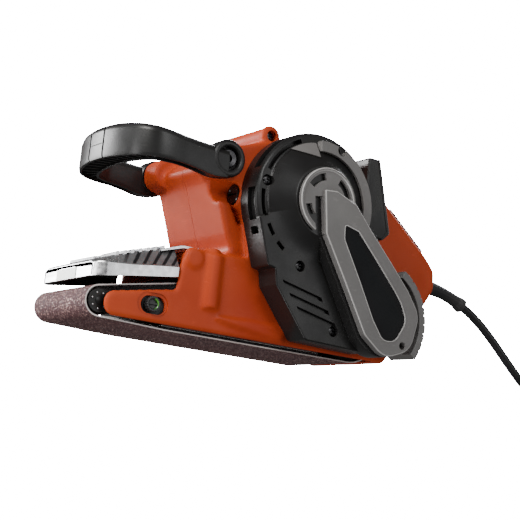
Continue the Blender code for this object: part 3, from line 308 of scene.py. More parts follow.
# %% [markdown]
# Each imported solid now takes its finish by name. A solid whose shape is already right keeps its mesh,
# and only its material slot changes.

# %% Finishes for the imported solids
FINISHES = (
    (orange_plastic, "housing_left housing_right"),
    (black_plastic, "dust_outlet drive_cover_base tension_lever brush_cap_front brush_cap_rear front_handle"),
    (grey_plastic, "drive_cover_frame cover_rear_band cover_disc"),
    (label_plastic, "cover_panel"),
    (fan_plastic, "cooling_fan switch_body"),
    (button_plastic, "trigger lock_button"),
    # The frame's near-black colour is painted shade for the inside of the knob's window.
    (frame_darkened_as_shade, "base_frame"),
    (knob_plastic, "tracking_knob"),
    (window_plastic, "guard_insert"),
    (black_rubber, "rear_soft_grip toothed_belt strain_relief mains_plug"),
    (roller_rubber, "drive_roller_sleeve"),
    (cord_sheath, "cord_lead cord_coil cord_tail"),
    (sanding_cloth, "sanding_belt"),
    (graphite_cloth, "platen_pad"),
    (guard_alloy, "nose_guard"),
    (sheet_steel, "platen"),
    (screw_steel, "cover_screw_front cover_screw_top cover_screw_middle cover_screw_bottom"),
    (screw_steel, "handle_screw_left handle_screw_right housing_screw_left housing_screw_right"),
    (cast_alloy, "roller_yoke drive_roller_core driven_pulley bearing_plate"),
    (ground_steel, "yoke_slider front_axle front_roller tension_spring drive_shaft motor_pulley motor_shaft"),
    (ground_steel, "roller_bearing_inner roller_bearing_outer motor_bearing_near motor_bearing_far"),
    (ground_steel, "guard_hinge_pin"),
    (iron, "armature stator"),
    (copper, "commutator"),
    (carbon_block, "carbon_brush_front carbon_brush_rear"),
)
finished = 0
for finish, names in FINISHES:
    for name in names.split():
        nodes[name].data.materials.clear()
        nodes[name].data.materials.append(finish)
        finished += 1
print("finished solids:", finished, "of", len(nodes))

# %% [markdown]
# The cord is one length of round cable: it leaves the sleeve, falls to the surface in a free curve,
# and is wound into a coil outside the camera's view. A coil is wound turn by turn: three turns side by
# side on the surface, then back outwards on top of them, with one turn on the very top. Between turns
# the cable shifts by its own diameter over a sixth of a turn, and each shift starts a little earlier
# than the one below it, so the cable never runs through itself.

# %% Cord route
CORD_R = 0.0035    # metres, as the places below are
COIL_X, COIL_Y = 0.382, -0.048
COIL_R = 48.0      # outermost turn, mm
WRAP = 7.0         # from one turn to the next, mm
LAST_STEP, LAST_DROP = 8.2, 6.9   # outwards and down, where the tail leaves the coil, mm
LEAD = [(0.2426, 0.0, 0.0666), (0.253, 0.0, 0.0616), (0.264, -0.0005, 0.0546), (0.275, -0.0012, 0.046),
        (0.286, -0.002, 0.0362), (0.297, -0.0028, 0.0262), (0.308, -0.0033, 0.0168),
        (0.319, -0.0032, 0.0094), (0.331, -0.0022, 0.0049), (0.343, -0.0009, 0.0036),
        (0.3545, 0.0, 0.0036), (0.368, 0.0, 0.0036)]
TAIL = [(0.4284, -0.0813, 0.0041), (0.4264, -0.088, 0.0054), (0.425, -0.095, 0.0066),
        (0.4246, -0.1017, 0.0072)]


def ease(value, low, high):
    t = min(1.0, max(0.0, (value - low) / (high - low)))
    return t * t * (3 - 2 * t)


def coil_spot(sweep):
    """Radius and height of the wound cable after it has swept this many degrees."""
    inwards = ease(sweep, 300, 360) + ease(sweep, 660, 720) - ease(sweep, 1260, 1320)
    upwards = ease(sweep, 960, 1020) + ease(sweep, 1560, 1620)
    radius = COIL_R - WRAP * inwards
    height = WRAP / 2 + WRAP * upwards
    slide = ease(sweep, 1860, 1920) * math.pi / 2
    radius += WRAP * math.sin(slide)
    height -= WRAP * (1 - math.cos(slide))
    drop = ease(sweep, 2208, 2278) * math.pi / 2
    radius += LAST_STEP * math.sin(drop)
    height -= LAST_DROP * (1 - math.cos(drop))
    angle = math.radians(90.0 - sweep)
    return (COIL_X + radius * math.cos(angle) / 1000, COIL_Y + radius * math.sin(angle) / 1000,
            height / 1000)


def along(rows, per_span=5):
    """A smooth curve through rows of any length, with the same rows kept on it."""
    ends = [[2 * a - b for a, b in zip(rows[0], rows[1])]] + [list(r) for r in rows]
    ends.append([2 * a - b for a, b in zip(rows[-1], rows[-2])])
    out = []
    for a, b, c, d in zip(ends, ends[1:], ends[2:], ends[3:]):
        for i in range(per_span):
            t = i / per_span
            out.append([0.5 * (2 * q + (r - p) * t + (2 * p - 5 * q + 4 * r - s) * t * t
                               + (3 * q - p - 3 * r + s) * t ** 3) for p, q, r, s in zip(a, b, c, d)])
    return out + [ends[-2]]


wound = [coil_spot(6.0 + 12.0 * i) for i in range(190)]
route = along(LEAD + wound[:1], 4)[:-1] + wound[:-1] + along([wound[-1]] + TAIL, 3)
cord_line = [Vector(spot) for spot in route]

# %% [markdown]
# A bevelled curve is the natural cable: one poly spline along the route, with a round section and
# filled ends. It stands for the three cord solids.

# %% Cord
cable = bpy.data.curves.new("mains_cord", "CURVE")
cable.dimensions = "3D"
cable.bevel_depth = CORD_R
cable.bevel_resolution = 5
cable.use_fill_caps = True
thread = cable.splines.new("POLY")
thread.points.add(len(cord_line) - 1)
for spot, place in zip(thread.points, cord_line):
    spot.co = (*place, 1.0)
thread.use_smooth = True
cable.materials.append(cord_sheath)
mains_cord = bpy.data.objects.new("mains_cord", cable)
bpy.context.scene.collection.objects.link(mains_cord)
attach(mains_cord, "chassis")
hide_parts("cord_lead", "cord_coil", "cord_tail")
print("cord made")

# %% [markdown]
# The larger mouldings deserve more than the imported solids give: rounded edges, ribs, grooves, recesses
# and rims. The helpers below are the few moves that all of them are made with, each one an ordinary
# step in Edit Mode: place the corners of a flat face and extrude it, spin a profile round an axis,
# extrude a section ring by ring along a path, and cut or fuse two shapes. Sizes are in millimetres
# here, because that is how a maker thinks of them, and become metres as the corners are placed.

# %% Modelling helpers
def clear_selection():
    if bpy.context.mode != "OBJECT":
        bpy.ops.object.mode_set(mode="OBJECT")
    bpy.ops.object.select_all(action="DESELECT")


def pick(piece):
    clear_selection()
    piece.select_set(True)
    bpy.context.view_layer.objects.active = piece


def start_edit(piece, select=True):
    pick(piece)
    bpy.ops.object.mode_set(mode="EDIT")
    bpy.ops.mesh.select_all(action="SELECT" if select else "DESELECT")


def close_edit():
    bpy.ops.mesh.select_all(action="SELECT")
    bpy.ops.mesh.remove_doubles(threshold=0.000002)
    bpy.ops.mesh.normals_make_consistent(inside=False)
    bpy.ops.object.mode_set(mode="OBJECT")


def use(piece, kind, **settings):
    """Add one modifier, set it and apply it."""
    pick(piece)
    step = piece.modifiers.new(kind.lower(), kind)
    for key, value in settings.items():
        setattr(step, key, value)
    bpy.ops.object.modifier_apply(modifier=step.name)
    return piece


def combine(piece, tools, how="DIFFERENCE", solver="EXACT"):
    for tool in tools:
        use(piece, "BOOLEAN", operation=how, object=tool, solver=solver)
        bpy.data.objects.remove(tool)
    return piece


def gather(first, others):
    """Join loose pieces into one object; each keeps its own surface."""
    clear_selection()
    for piece in [first] + others:
        piece.select_set(True)
    bpy.context.view_layer.objects.active = first
    bpy.ops.object.join()
    return first


def ring_of(name, corners, filled=True):
    """A circle whose corners are then moved onto the given points, in millimetres."""
    clear_selection()
    fill = "NGON" if filled else "NOTHING"
    bpy.ops.mesh.primitive_circle_add(vertices=len(corners), radius=0.01, fill_type=fill)
    piece = bpy.context.object
    piece.name = piece.data.name = name
    for vert, corner in zip(piece.data.vertices, corners):
        vert.co = Vector(corner) * 0.001
    return piece


def slab(name, outline, y0, y1, bevel=0.0, steps=2, axis="Y"):
    """Extrude an outline from y0 to y1 and round its edges."""
    places = {"Y": lambda a, b, c: (a, c, b), "Z": lambda a, b, c: (a, b, c), "X": lambda a, b, c: (c, a, b)}
    put = places[axis]
    piece = ring_of(name, [put(a, b, y0) for a, b in outline])
    start_edit(piece)
    travel = Vector(put(0, 0, y1 - y0)) * 0.001
    bpy.ops.mesh.extrude_region_move(TRANSFORM_OT_translate={"value": travel})
    close_edit()
    if bevel:
        use(piece, "BEVEL", width=bevel * 0.001, segments=steps, limit_method="ANGLE",
            angle_limit=math.radians(40), use_clamp_overlap=True)
    return piece


def lathe(name, centre, profile, axis="Y", turns=72):
    """Spin a closed profile of (radius, place along the axis) round the axis."""
    put = {"Y": lambda r, y: (centre[0] + r, y, centre[1]), "X": lambda r, x: (x, centre[0] + r, centre[1]),
           "Z": lambda r, z: (centre[0] + r, centre[1], z)}[axis]
    piece = ring_of(name, [put(r, s) for r, s in profile], filled=False)
    start_edit(piece)
    line = {"X": (1, 0, 0), "Y": (0, 1, 0), "Z": (0, 0, 1)}[axis]
    pivot = Vector(put(0.0, 0.0)) * 0.001
    bpy.ops.mesh.spin(steps=turns, angle=math.tau, center=pivot, axis=line)
    close_edit()
    return piece


def swept(name, rings):
    """Extrude a closed section again and again, placing each new ring's corners."""
    piece = ring_of(name, rings[0])
    start_edit(piece)
    spots = [Vector(corner) * 0.001 for corner in rings[0]]
    for ring in rings[1:]:
        bpy.ops.mesh.extrude_region_move(TRANSFORM_OT_translate={"value": (0.0, 0.0, 0.0)})
        shape = bmesh.from_edit_mesh(piece.data)
        fresh = [vert for vert in shape.verts if vert.select]
        goal = [Vector(corner) * 0.001 for corner in ring]
        for vert in fresh:
            nearest = min(range(len(spots)), key=lambda i: (spots[i] - vert.co).length_squared)
            vert.co = goal[nearest]
        bmesh.update_edit_mesh(piece.data)
        spots = goal
    close_edit()
    return piece


def copy_of(node, name):
    piece = bpy.data.objects.new(name, nodes[node].data.copy())
    bpy.context.scene.collection.objects.link(piece)
    start_edit(piece)
    close_edit()
    return piece


def box_line(x0, z0, x1, z1):
    return [(x0, z0), (x1, z0), (x1, z1), (x0, z1)]


def capsule(low, high, radius, steps=20):
    """Outline of a slot that lies along x from one centre to the other."""
    return arc(low, radius, 90, 270, steps) + arc(high, radius, -90, 90, steps)


def arc(centre, radius, start, end, count=24):
    spots = []
    for i in range(count):
        angle = math.radians(start + (end - start) * i / (count - 1))
        spots.append((centre[0] + radius * math.cos(angle), centre[1] + radius * math.sin(angle)))
    return spots


def round_hole(name, centre, radius, low, high, axis="Y", sides=40):
    return slab(name, arc(centre, radius, 0, 360 - 360 / sides, sides), low, high, axis=axis)


def rounded(corners, steps=8):
    """Replace each corner (x, z, radius) by an arc that touches both of its sides."""
    line = []
    count = len(corners)
    for i, (x, z, radius) in enumerate(corners):
        corner = Vector((x, z))
        if radius <= 0:
            line.append((x, z))
            continue
        before = Vector(corners[i - 1][:2]) - corner
        after = Vector(corners[(i + 1) % count][:2]) - corner
        half = before.angle(after) / 2
        reach = min(radius / math.tan(half), before.length * 0.49, after.length * 0.49)
        inner = reach * math.tan(half)
        middle = corner + (before.normalized() + after.normalized()).normalized() * (inner / math.sin(half))
        first = corner + before.normalized() * reach - middle
        last = corner + after.normalized() * reach - middle
        bend = math.atan2(first.x * last.y - first.y * last.x, first.dot(last))
        for k in range(steps + 1):
            a = bend * k / steps
            turned = Vector((first.x * math.cos(a) - first.y * math.sin(a),
                             first.x * math.sin(a) + first.y * math.cos(a)))
            line.append(tuple(middle + turned))
    return line


def paint(piece, *finishes, index=0):
    """Give a piece its materials, and all of its faces one of them."""
    piece.data.materials.clear()
    for material in finishes:
        piece.data.materials.append(material)
    for face in piece.data.polygons:
        face.material_index = index
    return piece


def settle(piece, finish, body, stands_for, angle=38, extra=(), even=True):
    """Give a piece its finish, its smooth shading and its body, and hide the solids it stands for."""
    if finish is not None:
        piece.data.materials.clear()
        for material in (finish, *extra):
            piece.data.materials.append(material)
    pick(piece)
    bpy.ops.object.shade_smooth_by_angle(angle=math.radians(angle))
    if even:
        use(piece, "WEIGHTED_NORMAL", keep_sharp=True, weight=100)
    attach(piece, body)
    if stands_for:
        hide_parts(*stands_for)
    print(piece.name, len(piece.data.polygons), "faces")
    return piece

# %% [markdown]
# The front handle is a U of black plastic: two flat arms run forward from the pivot eyes, turn in and
# meet in a thicker bar. It is crowned on top, hollow underneath and stiffened with slanting ribs. A
# section with an open channel is extruded ring by ring along the U; its width, top and bottom change
# on the way. The eyes are spun, and two grooves are cut down the front face.

# %% Front handle
EYE = (-25.0, 121.0)
# Each row is x, y, half the width, top, bottom and the depth of the channel.
HALF_PATH = [(-25.0, -49.5, 4.8, 128.0, 107.5, 0.0), (-36.0, -49.5, 4.8, 128.2, 106.6, 0.0),
             (-48.0, -49.5, 4.9, 128.8, 108.4, 3.0), (-58.0, -49.4, 5.0, 129.6, 109.6, 8.0),
             (-67.0, -49.0, 5.6, 130.6, 110.0, 11.0), (-76.5, -45.5, 6.6, 132.4, 110.4, 13.0),
             (-83.0, -37.5, 7.6, 133.9, 110.8, 13.0), (-87.0, -25.0, 8.4, 135.0, 111.2, 13.0),
             (-88.9, -12.0, 9.0, 135.4, 111.6, 13.0)]
full_path = HALF_PATH + [(-89.3, 0.0, 9.2, 135.5, 111.8, 13.0)]
full_path += [(x, -y, w, t, b, d) for x, y, w, t, b, d in reversed(HALF_PATH)]


def handle_section(w, top, low, deep):
    """Corners across the handle, from the outer wall's foot over the crown and into the channel."""
    deep = max(deep, 0.3)
    wall = min(2.4, w * 0.42)
    lean = 0.08 * w
    return [(w - lean, low), (w, low + 2.5), (w, top - 5.5), (w - 0.8, top - 2.6), (w - 2.6, top - 0.8),
            (0.0, top), (-w + 2.6, top - 0.8), (-w + 0.8, top - 2.6), (-w, top - 5.5), (-w, low + 2.5),
            (-w + lean, low), (-w + wall, low + 0.01), (-w + wall + 0.3, low + deep),
            (w - wall - 0.3, low + deep), (w - wall, low + 0.01)]


way = along(full_path)


def heading(i):
    """The direction of the handle's path at row i, and the one square to it."""
    after, before = way[min(i + 1, len(way) - 1)], way[max(i - 1, 0)]
    run = Vector((after[0] - before[0], after[1] - before[1])).normalized()
    return run, Vector((-run.y, run.x))


handle_rings = []
for i, (x, y, w, top, low, deep) in enumerate(way):
    run, side = heading(i)
    handle_rings.append([(x - side.x * s, y - side.y * s, z) for s, z in handle_section(w, top, low, deep)])
front_grip = swept("front_handle_body", handle_rings)
use(front_grip, "BEVEL", width=0.0006, segments=2, limit_method="ANGLE", angle_limit=math.radians(50))
for y in (-9.5, 9.5):
    groove = slab("groove", box_line(-100.5, 110.5, -96.9, 134.0), y - 0.9, y + 0.9)
    combine(front_grip, [groove])
belt_line = slab("belt_line", box_line(-104.0, 121.6, -97.9, 122.2), -33.0, 33.0)
combine(front_grip, [belt_line])
print("handle rings:", len(handle_rings))

# %% [markdown]
# The eyes are spun with a deep seat for the screw. The ribs are thin slanting plates copied along the
# channel; they only reach the height of its roof, so the rim stays the lowest line of the handle.

# %% Handle eyes and ribs
extras = []
for side in (-1, 1):
    inner, outer = side * 44.5, side * 54.5
    seat = side * 49.4
    extras.append(lathe("eye", EYE, [(3.4, inner), (11.8, inner), (13.0, inner + side * 1.2),
                                     (13.0, outer - side * 1.6), (12.4, outer - side * 0.5),
                                     (11.2, outer), (9.4, outer), (8.5, outer - side * 0.7),
                                     (8.2, seat), (3.4, seat)]))
FIRST_RIB, RIB_STEP = 20, 3
for i in range(FIRST_RIB, len(way) - FIRST_RIB, RIB_STEP):
    x, y, w, top, low, deep = way[i]
    run, side = heading(i)
    wall = w - 2.0
    slant = run * 2.6
    here = Vector((x, y))
    a, b = here + side * wall + slant, here - side * wall - slant
    thick = run * 0.55
    corners = [tuple(p) for p in (a - thick, a + thick, b + thick, b - thick)]
    extras.append(slab("rib", corners, low + 1.2, low + deep + 0.4, axis="Z"))
gather(front_grip, extras)
settle(front_grip, black_plastic, "front_handle", ["front_handle"])

# %% [markdown]
# The nose guard is a thin polished casting. Its band is bright and nearly flat, and the sloping roof
# behind it is crossed by slanting ribs that give the fingers a hold. Each section across it is a thin
# shell; the shell is extruded backwards section by section, the small front window is cut, and the
# ribs are added. The faces that look down or inwards get a black finish, chosen by the way they face.

# %% Nose guard shell
GUARD_HINGE = (-38.0, 51.0)
GUARD_WALL = 2.2
# Each row is x, half the width, lower edge, top of the band, half the roof's width and its height.
GUARD = [(-107.5, 36.0, 27.5, 35.6, 33.5, 37.2), (-106.8, 37.4, 27.5, 36.3, 34.4, 38.0),
         (-104.5, 40.6, 27.6, 36.8, 34.9, 39.2), (-101.0, 43.0, 27.9, 37.2, 35.0, 40.7),
         (-95.0, 43.7, 28.9, 37.6, 34.4, 43.0), (-82.0, 44.0, 31.0, 38.7, 33.2, 47.4),
         (-68.0, 44.0, 33.1, 40.7, 33.0, 51.8), (-58.0, 44.0, 34.5, 42.0, 33.0, 54.4),
         (-48.8, 44.0, 36.0, 43.0, 33.0, 57.4)]


def guard_ring(x, side, low, band, crown, top, wall):
    """Corners of the shell's section: the outside going over, then the inside coming back."""
    outer = [(-side, low), (-side, band - 0.6), (-side + 0.7, band + 0.3), (-crown - 1.4, top - 1.3),
             (-crown + 1.2, top - 0.1), (0.0, top + 0.1), (crown - 1.2, top - 0.1), (crown + 1.4, top - 1.3),
             (side - 0.7, band + 0.3), (side, band - 0.6), (side, low)]
    inner = [(side - wall, low), (side - wall, band - 1.6), (crown - 0.6, top - wall - 0.9),
             (0.0, top - wall), (-crown + 0.6, top - wall - 0.9), (-side + wall, band - 1.6),
             (-side + wall, low)]
    return [(x, y, z) for y, z in outer + inner]


guard_piece = swept("guard_shell", [guard_ring(*row, GUARD_WALL) for row in GUARD])
nose = [(y, z) for _, y, z in guard_ring(*GUARD[0], GUARD_WALL)[:11]]
front_wall = slab("guard_front", nose, -107.5, -105.2, bevel=0.5, axis="X")
combine(front_wall,
        [slab("window", rounded([(-10, 28.8, 0.6), (14, 28.8, 0.6), (14, 35.2, 0.6), (-10, 35.2, 0.6)]),
                          -115.0, -104.0, axis="X")])
lip = slab("guard_lip",
           [(-60.0, 53.6), (-46.0, 58.4), (-43.0, 58.9), (-31.2, 59.1), (-31.2, 57.1), (-43.0, 56.9),
                         (-60.0, 51.8)], -37.5, 37.5, bevel=0.3)
knuckle = lathe("guard_knuckle", GUARD_HINGE, [(2.4, -11.7), (5.7, -11.7), (6.1, -11.3), (6.1, 11.3),
                                               (5.7, 11.7), (2.4, 11.7)], turns=40)
web = slab("guard_web", box_line(-42.0, 53.0, -34.0, 57.2), -11.5, 11.5)
gather(guard_piece, [front_wall, lip, knuckle, web])
print("guard shell made")

# %% [markdown]
# The ribs stand proud of the roof like short slanting bars. Each is one flat outline extruded upward,
# then lifted to follow the slope. A small rule then picks the faces for the black inside and for the roof.

# %% Guard ribs
ROOF_SLOPE = 0.3
bars = []
for i in range(7):
    x = -90.0 + 5.6 * i
    height = 47.4 + (x + 82.0) * ROOF_SLOPE
    for side in (-1, 1):
        spots = [(x - 1.4, side * 33.6), (x + 1.2, side * 33.6), (x + 5.0, side * 5.0), (x + 2.4, side * 5.0)]
        bar = slab("bar", spots, height - 1.6, height + 1.9, bevel=0.5, axis="Z")
        for vert in bar.data.vertices:
            vert.co.z += (vert.co.x - x / 1000) * ROOF_SLOPE
        bars.append(bar)
gather(guard_piece, bars)
settle(guard_piece, guard_alloy, "nose_guard", ["nose_guard"], angle=25,
       extra=(black_plastic, guard_roof))


def guard_finish(face):
    """0 for the polished band, 1 for the black inside, 2 for the duller roof."""
    spot = face.center * 1000
    which = 0
    if -107.2 < spot.x < -48.0 and face.normal.z < -0.25:
        which = 1
    if -105.4 < spot.x < -48.0 and abs(spot.y) > 30 and face.normal.y * spot.y < -1e-6:
        which = 1
    if -105.4 < spot.x < -60.0 and face.normal.x > 0.8:
        which = 1
    facing_out = face.normal.z > 0.1 or abs(face.normal.x) > 0.6
    if facing_out and -106.6 < spot.x < -40.0 and spot.z > 39.0 + 0.075 * (spot.x + 101.0):
        which = 2
    return which


for face in guard_piece.data.polygons:
    face.material_index = guard_finish(face)
print("guard bars:", len(bars))

# %% [markdown]
# The next pieces share a few centres, each one (x, z) in millimetres.
#
# The clamshell is one moulded skin with soft edges everywhere. Both packed halves are copied and
# merged, the ribs and bosses that stand proud are laid into them, and a voxel remesh melts all of it
# into one closed skin that a little smoothing rounds like a moulding. Holes that have to stay crisp
# are cut afterwards, and a cut down the middle parts the skin into its two halves again.

# %% Housing skin
MOTOR = (43.0, 102.0)
REAR = (101.0, 30.0)
AXLE = (-101.0, 12.0)
TUBE = (15.0, 148.0)
BRUSH = (-35.5, 102.0)
VENT_R = 24.0
skin = copy_of("housing_left", "housing_skin")
other = copy_of("housing_right", "other_half")
for half, way_over in ((skin, 0.0006), (other, -0.0006)):
    for vert in half.data.vertices:
        if abs(vert.co.y) < 0.0002:
            vert.co.y = way_over
proud = [slab("wedge_rib", rounded([(-23, 15, 1.5), (43, 15.5, 1.5), (38, 5.5, 1.5), (-7, 11, 1.5)]),
              -45.8, -43.0),
         slab("pillar", arc((-22.0, -39.0), 8.6, 0, 345, 24), 19.0, 56.0, axis="Z"),
         slab("pillar_cap", arc((-22.0, -39.0), 6.2, 0, 345, 24), 55.0, 60.0, axis="Z"),
         lathe("cap_ring", BRUSH, [(7.6, -8.2), (9.4, -8.2), (9.8, -7.4), (9.8, -2.0), (7.6, -2.0)],
               axis="X", turns=40)]
patch_line = capsule((-70.0, 15.0), (-62.0, 15.0), 7.3)
proud.append(slab("window_patch", patch_line, -43.9, -41.5))
for side in (-1, 1):
    proud.append(round_hole("hinge_boss", GUARD_HINGE, 6.8, side * 41.0, side * 45.6))
    proud.append(round_hole("tube_collar", TUBE, 7.6, side * 37.5, side * 42.3))
    proud.append(round_hole("handle_boss", EYE, 11.8, side * 30.0, side * 43.8))
for i in range(5):
    z = 71.0 + 7.5 * i
    x = -6.5 - (z - 73.0) * 0.5
    proud.append(slab("grip_ridge", arc((x + 1.2, z), 2.2, 0, 330, 12), 27.0, 38.4))
gather(skin, [other] + proud)
use(skin, "REMESH", mode="VOXEL", voxel_size=0.00115, adaptivity=0.0)
use(skin, "SMOOTH", factor=0.6, iterations=7)
print("housing skin:", len(skin.data.polygons), "faces")

# %% [markdown]
# The crisp cuts come now: the bores, the knob's window with its sloping rim, the seats of the brush
# caps, and the vents of the far side.

# %% Housing cuts
tools = [round_hole("tube_bore", TUBE, 4.0, -46.0, -8.0), round_hole("tube_bore", TUBE, 4.0, 8.0, 46.0)]
tools += [round_hole("pin_bore", GUARD_HINGE, 2.3, -44.5, 44.5)]
window_line = capsule((-68.2, 14.5), (-61.5, 14.5), 5.9)
tools.append(slab("knob_window", window_line, -50.0, -41.0))
rim_line = capsule((-69.5, 15.0), (-61.5, 15.0), 7.6)
tools.append(slab("window_rim", rim_line, -50.0, -43.3))
for low, high in ((-60.0, 3.0), (88.0, 100.0)):
    tools.append(round_hole("brush_seat", BRUSH, 7.3, low, high, axis="X"))
for i in range(8):
    turn_to = math.tau * (i + 0.5) / 8
    centre = Vector((MOTOR[0] + VENT_R * math.cos(turn_to), MOTOR[1] + VENT_R * math.sin(turn_to)))
    along_slot = Vector((-math.sin(turn_to), math.cos(turn_to))) * 4.5
    degrees = math.degrees(turn_to)
    slot_line = arc(centre + along_slot, 2.6, degrees, degrees + 180, 12)
    slot_line += arc(centre - along_slot, 2.6, degrees + 180, degrees + 360, 12)
    tools.append(slab("vent", slot_line, 38.0, 47.0))
BUTTON = (126.0, 121.0)
tools.append(round_hole("button_bore", BUTTON, 4.7, -24.0, -9.0))
tools.append(slab("lip_room", box_line(-32.2, 45.6, -23.8, 66.0), -40.2, 40.2))
GRIP_TOP, GRIP_FOOT = Vector((142.0, 130.5)), Vector((186.5, 96.5))
slope = (GRIP_FOOT - GRIP_TOP).normalized()
rise = Vector((-slope.y, slope.x))
trigger_spot = Vector((133.0, 95.0))
pocket_line = [trigger_spot + slope * s * 15.7 + rise * r for s,
               r in ((-1, -14.0), (1, -14.0), (1, 15.2), (-1, 15.2))]
tools.append(slab("trigger_room", [tuple(p) for p in pocket_line], -8.8, 8.8))
combine(skin, tools, solver="MANIFOLD")
twin = skin.copy()
twin.data = skin.data.copy()
twin.name = twin.data.name = "housing_far_skin"
bpy.context.scene.collection.objects.link(twin)
for half, side in ((skin, 1), (twin, -1)):
    away = slab("parting_block", box_line(-150, -20, 260, 200), side * -0.15, side * 90.0)
    combine(half, [away], solver="MANIFOLD")
skin.name = skin.data.name = "housing_near_skin"
settle(skin, orange_plastic, "chassis", ["housing_left"], angle=30, even=False)
settle(twin, orange_plastic, "chassis", ["housing_right"], angle=30, even=False)

# %% [markdown]
# The drive cover's base is black. Its ring round the motor end is a spun profile: an outer wall, a
# flat face, then a cone that rises to the middle. Long curved recesses are cut into the wall and the
# face, with narrow tabs left between them. The flat lower body is a bevelled slab with three slanting
# grooves, and the room inside is cut out of everything at the end.

# %% Drive cover base
base = lathe("cover_base_shell", MOTOR,
             [(36.0, -44.4), (50.0, -44.4), (50.0, -61.8), (49.4, -63.2), (48.0, -64.0), (42.6, -64.0),
              (41.9, -64.4), (41.4, -65.6), (25.6, -75.0), (24.6, -75.4), (10.0, -75.4), (10.0, -73.2),
              (24.0, -73.2), (37.0, -63.0)], turns=120)
LOWER = [(-4.0, 84.0, 0.0), (7.0, 52.0, 2.0), (13.0, 51.0, 2.0), (15.0, 40.0, 3.0), (43.0, 6.5, 5.0),
         (101.0, 5.0, 5.0), (127.0, 11.0, 14.0), (133.0, 34.0, 14.0), (120.0, 60.0, 14.0), (92.0, 96.0, 8.0),
         (60.0, 120.0, 0.0)]
lower = slab("cover_lower", rounded(LOWER), -66.0, -44.4, bevel=1.1, steps=3)
bed_line = arc(MOTOR, 16.0, 39, 219, 32) + arc(REAR, 27.0, 219, 399, 48)
bed = slab("arm_bed", bed_line, -75.4, -60.0, bevel=1.0)
combine(base, [lower, bed], "UNION")
belt_room = arc(MOTOR, 12.0, 39, 219, 24) + arc(REAR, 25.3, 219, 399, 40)
plate_room = arc(MOTOR, 19.0, 39, 219, 24) + arc(REAR, 19.0, 219, 399, 24)
combine(base,
        [round_hole("fan_room", MOTOR, 37.0, -62.0, -40.0, sides=72),
         slab("belt_room", belt_room, -73.0, -40.0),
               slab("plate_room", plate_room, -52.0, -40.0)])
for low, high in ((112, 160), (177, 203), (208, 221), (226, 237)):
    recess = arc(MOTOR, 52.0, low, high) + arc(MOTOR, 47.0, high, low)
    face_slot = arc(MOTOR, 46.2, low + 1, high - 1) + arc(MOTOR, 43.2, high - 1, low + 1)
    combine(base, [slab("wall_recess", recess, -61.4, -53.0), slab("face_slot", face_slot, -70.0, -58.5)])
for x, z, run in ((19.5, 44.5, 34.0), (26.0, 36.5, 34.0), (33.0, 28.5, 34.0)):
    slot_line = [(x, z), (x + run, z - 7.0), (x + run + 1.5, z - 10.0), (x + 2.0, z - 3.4)]
    combine(base, [slab("slant_groove", slot_line, -70.0, -63.4)])
SCREWS = {"cover_screw_front": (0.5, 110.0), "cover_screw_top": (56.0, 142.0),
          "cover_screw_middle": (33.0, 56.0),
          "cover_screw_bottom": (66.0, 16.0)}
for centre in SCREWS.values():
    combine(base, [round_hole("screw_seat", centre, 3.9, -90.0, -60.0, sides=28)])
settle(base, black_plastic, "chassis", ["drive_cover_base"], angle=32)

# %% [markdown]
# A grey frame lies on the base: part of a ring, a thin crescent above the cone, and the long arm that
# covers the belt drive. The arm is a slab with a rounded edge, a recess for a smooth black panel and two
# open screw holes; its rounded edge is painted a brighter grey as a highlight. The bed of the base is
# cut out behind it with a small clearance, so the two never touch.

# %% Drive cover frame
ARM = [(37.5, 109.0, 1.0), (41.5, 79.0, 6.0), (61.5, 48.0, 0.0), (82.0, 15.0, 14.0), (101.0, 1.5, 16.0),
       (124.0, 10.0, 16.0), (130.0, 36.0, 16.0), (118.0, 52.0, 10.0), (104.0, 66.0, 0.0), (80.0, 89.0, 12.0),
       (65.5, 104.0, 4.0), (48.0, 110.0, 2.0)]
PANEL = [(57.0, 88.0, 1.5), (57.5, 78.0, 6.0), (73.5, 52.0, 0.0), (88.0, 27.0, 8.0), (98.0, 14.0, 8.0),
         (109.0, 14.5, 9.0), (118.0, 30.0, 10.0), (112.0, 42.0, 6.0), (105.0, 50.0, 0.0), (86.0, 69.0, 0.0),
         (69.0, 85.5, 3.0)]
cover_frame = slab("cover_frame",
                   arc(MOTOR, 43.5, 97.5, -62.0, 72) + arc(MOTOR, 36.0, -62.0, 97.5, 60),
                   -71.6, -66.0, bevel=0.6)
arm = slab("cover_arm", rounded(ARM), -81.0, -71.0, bevel=0.9, steps=3)
combine(cover_frame, [arm], "UNION")
cone_room = lathe("cone_room", MOTOR,
                  [(0.0, -60.0), (41.8, -60.0), (41.8, -65.8), (25.8, -75.4), (25.3, -75.8), (0.0, -75.8)],
                  turns=96)
bed_room = arc(MOTOR, 16.4, 39, 219, 32) + arc(REAR, 27.4, 219, 399, 48)
combine(cover_frame, [cone_room, slab("bed_room", bed_room, -75.8, -59.0),
                      slab("panel_recess", rounded(PANEL), -90.0, -79.9),
                      round_hole("disc_recess", MOTOR, 23.9, -78.3, -70.0, sides=96),
                      round_hole("screw_room", SCREWS["cover_screw_top"], 4.0, -90.0, -58.0, sides=28),
                      round_hole("arm_hole", (116.0, 12.6), 2.7, -90.0, -74.0, sides=28),
                      slab("side_slot", [(29.0, 111.0), (37.0, 111.0), (41.2, 79.0), (35.0, 76.0)], -90.0,
                           -76.2)])
crescent = lathe("crescent", MOTOR,
                 [(30.0, -64.0), (42.6, -64.6), (42.6, -66.0), (41.6, -66.6), (30.0, -73.4)], turns=120)
cap_line = arc(MOTOR, 44.5, 135, 98.5, 24) + [(37.2, 133.0), (14.0, 135.5)]
combine(crescent, [slab("crescent_line", cap_line, -90.0, -60.0)], "INTERSECT")
gather(cover_frame, [crescent])
settle(cover_frame, grey_plastic, "chassis", ["drive_cover_frame"], angle=32,
       extra=(edge_highlight_grey,))


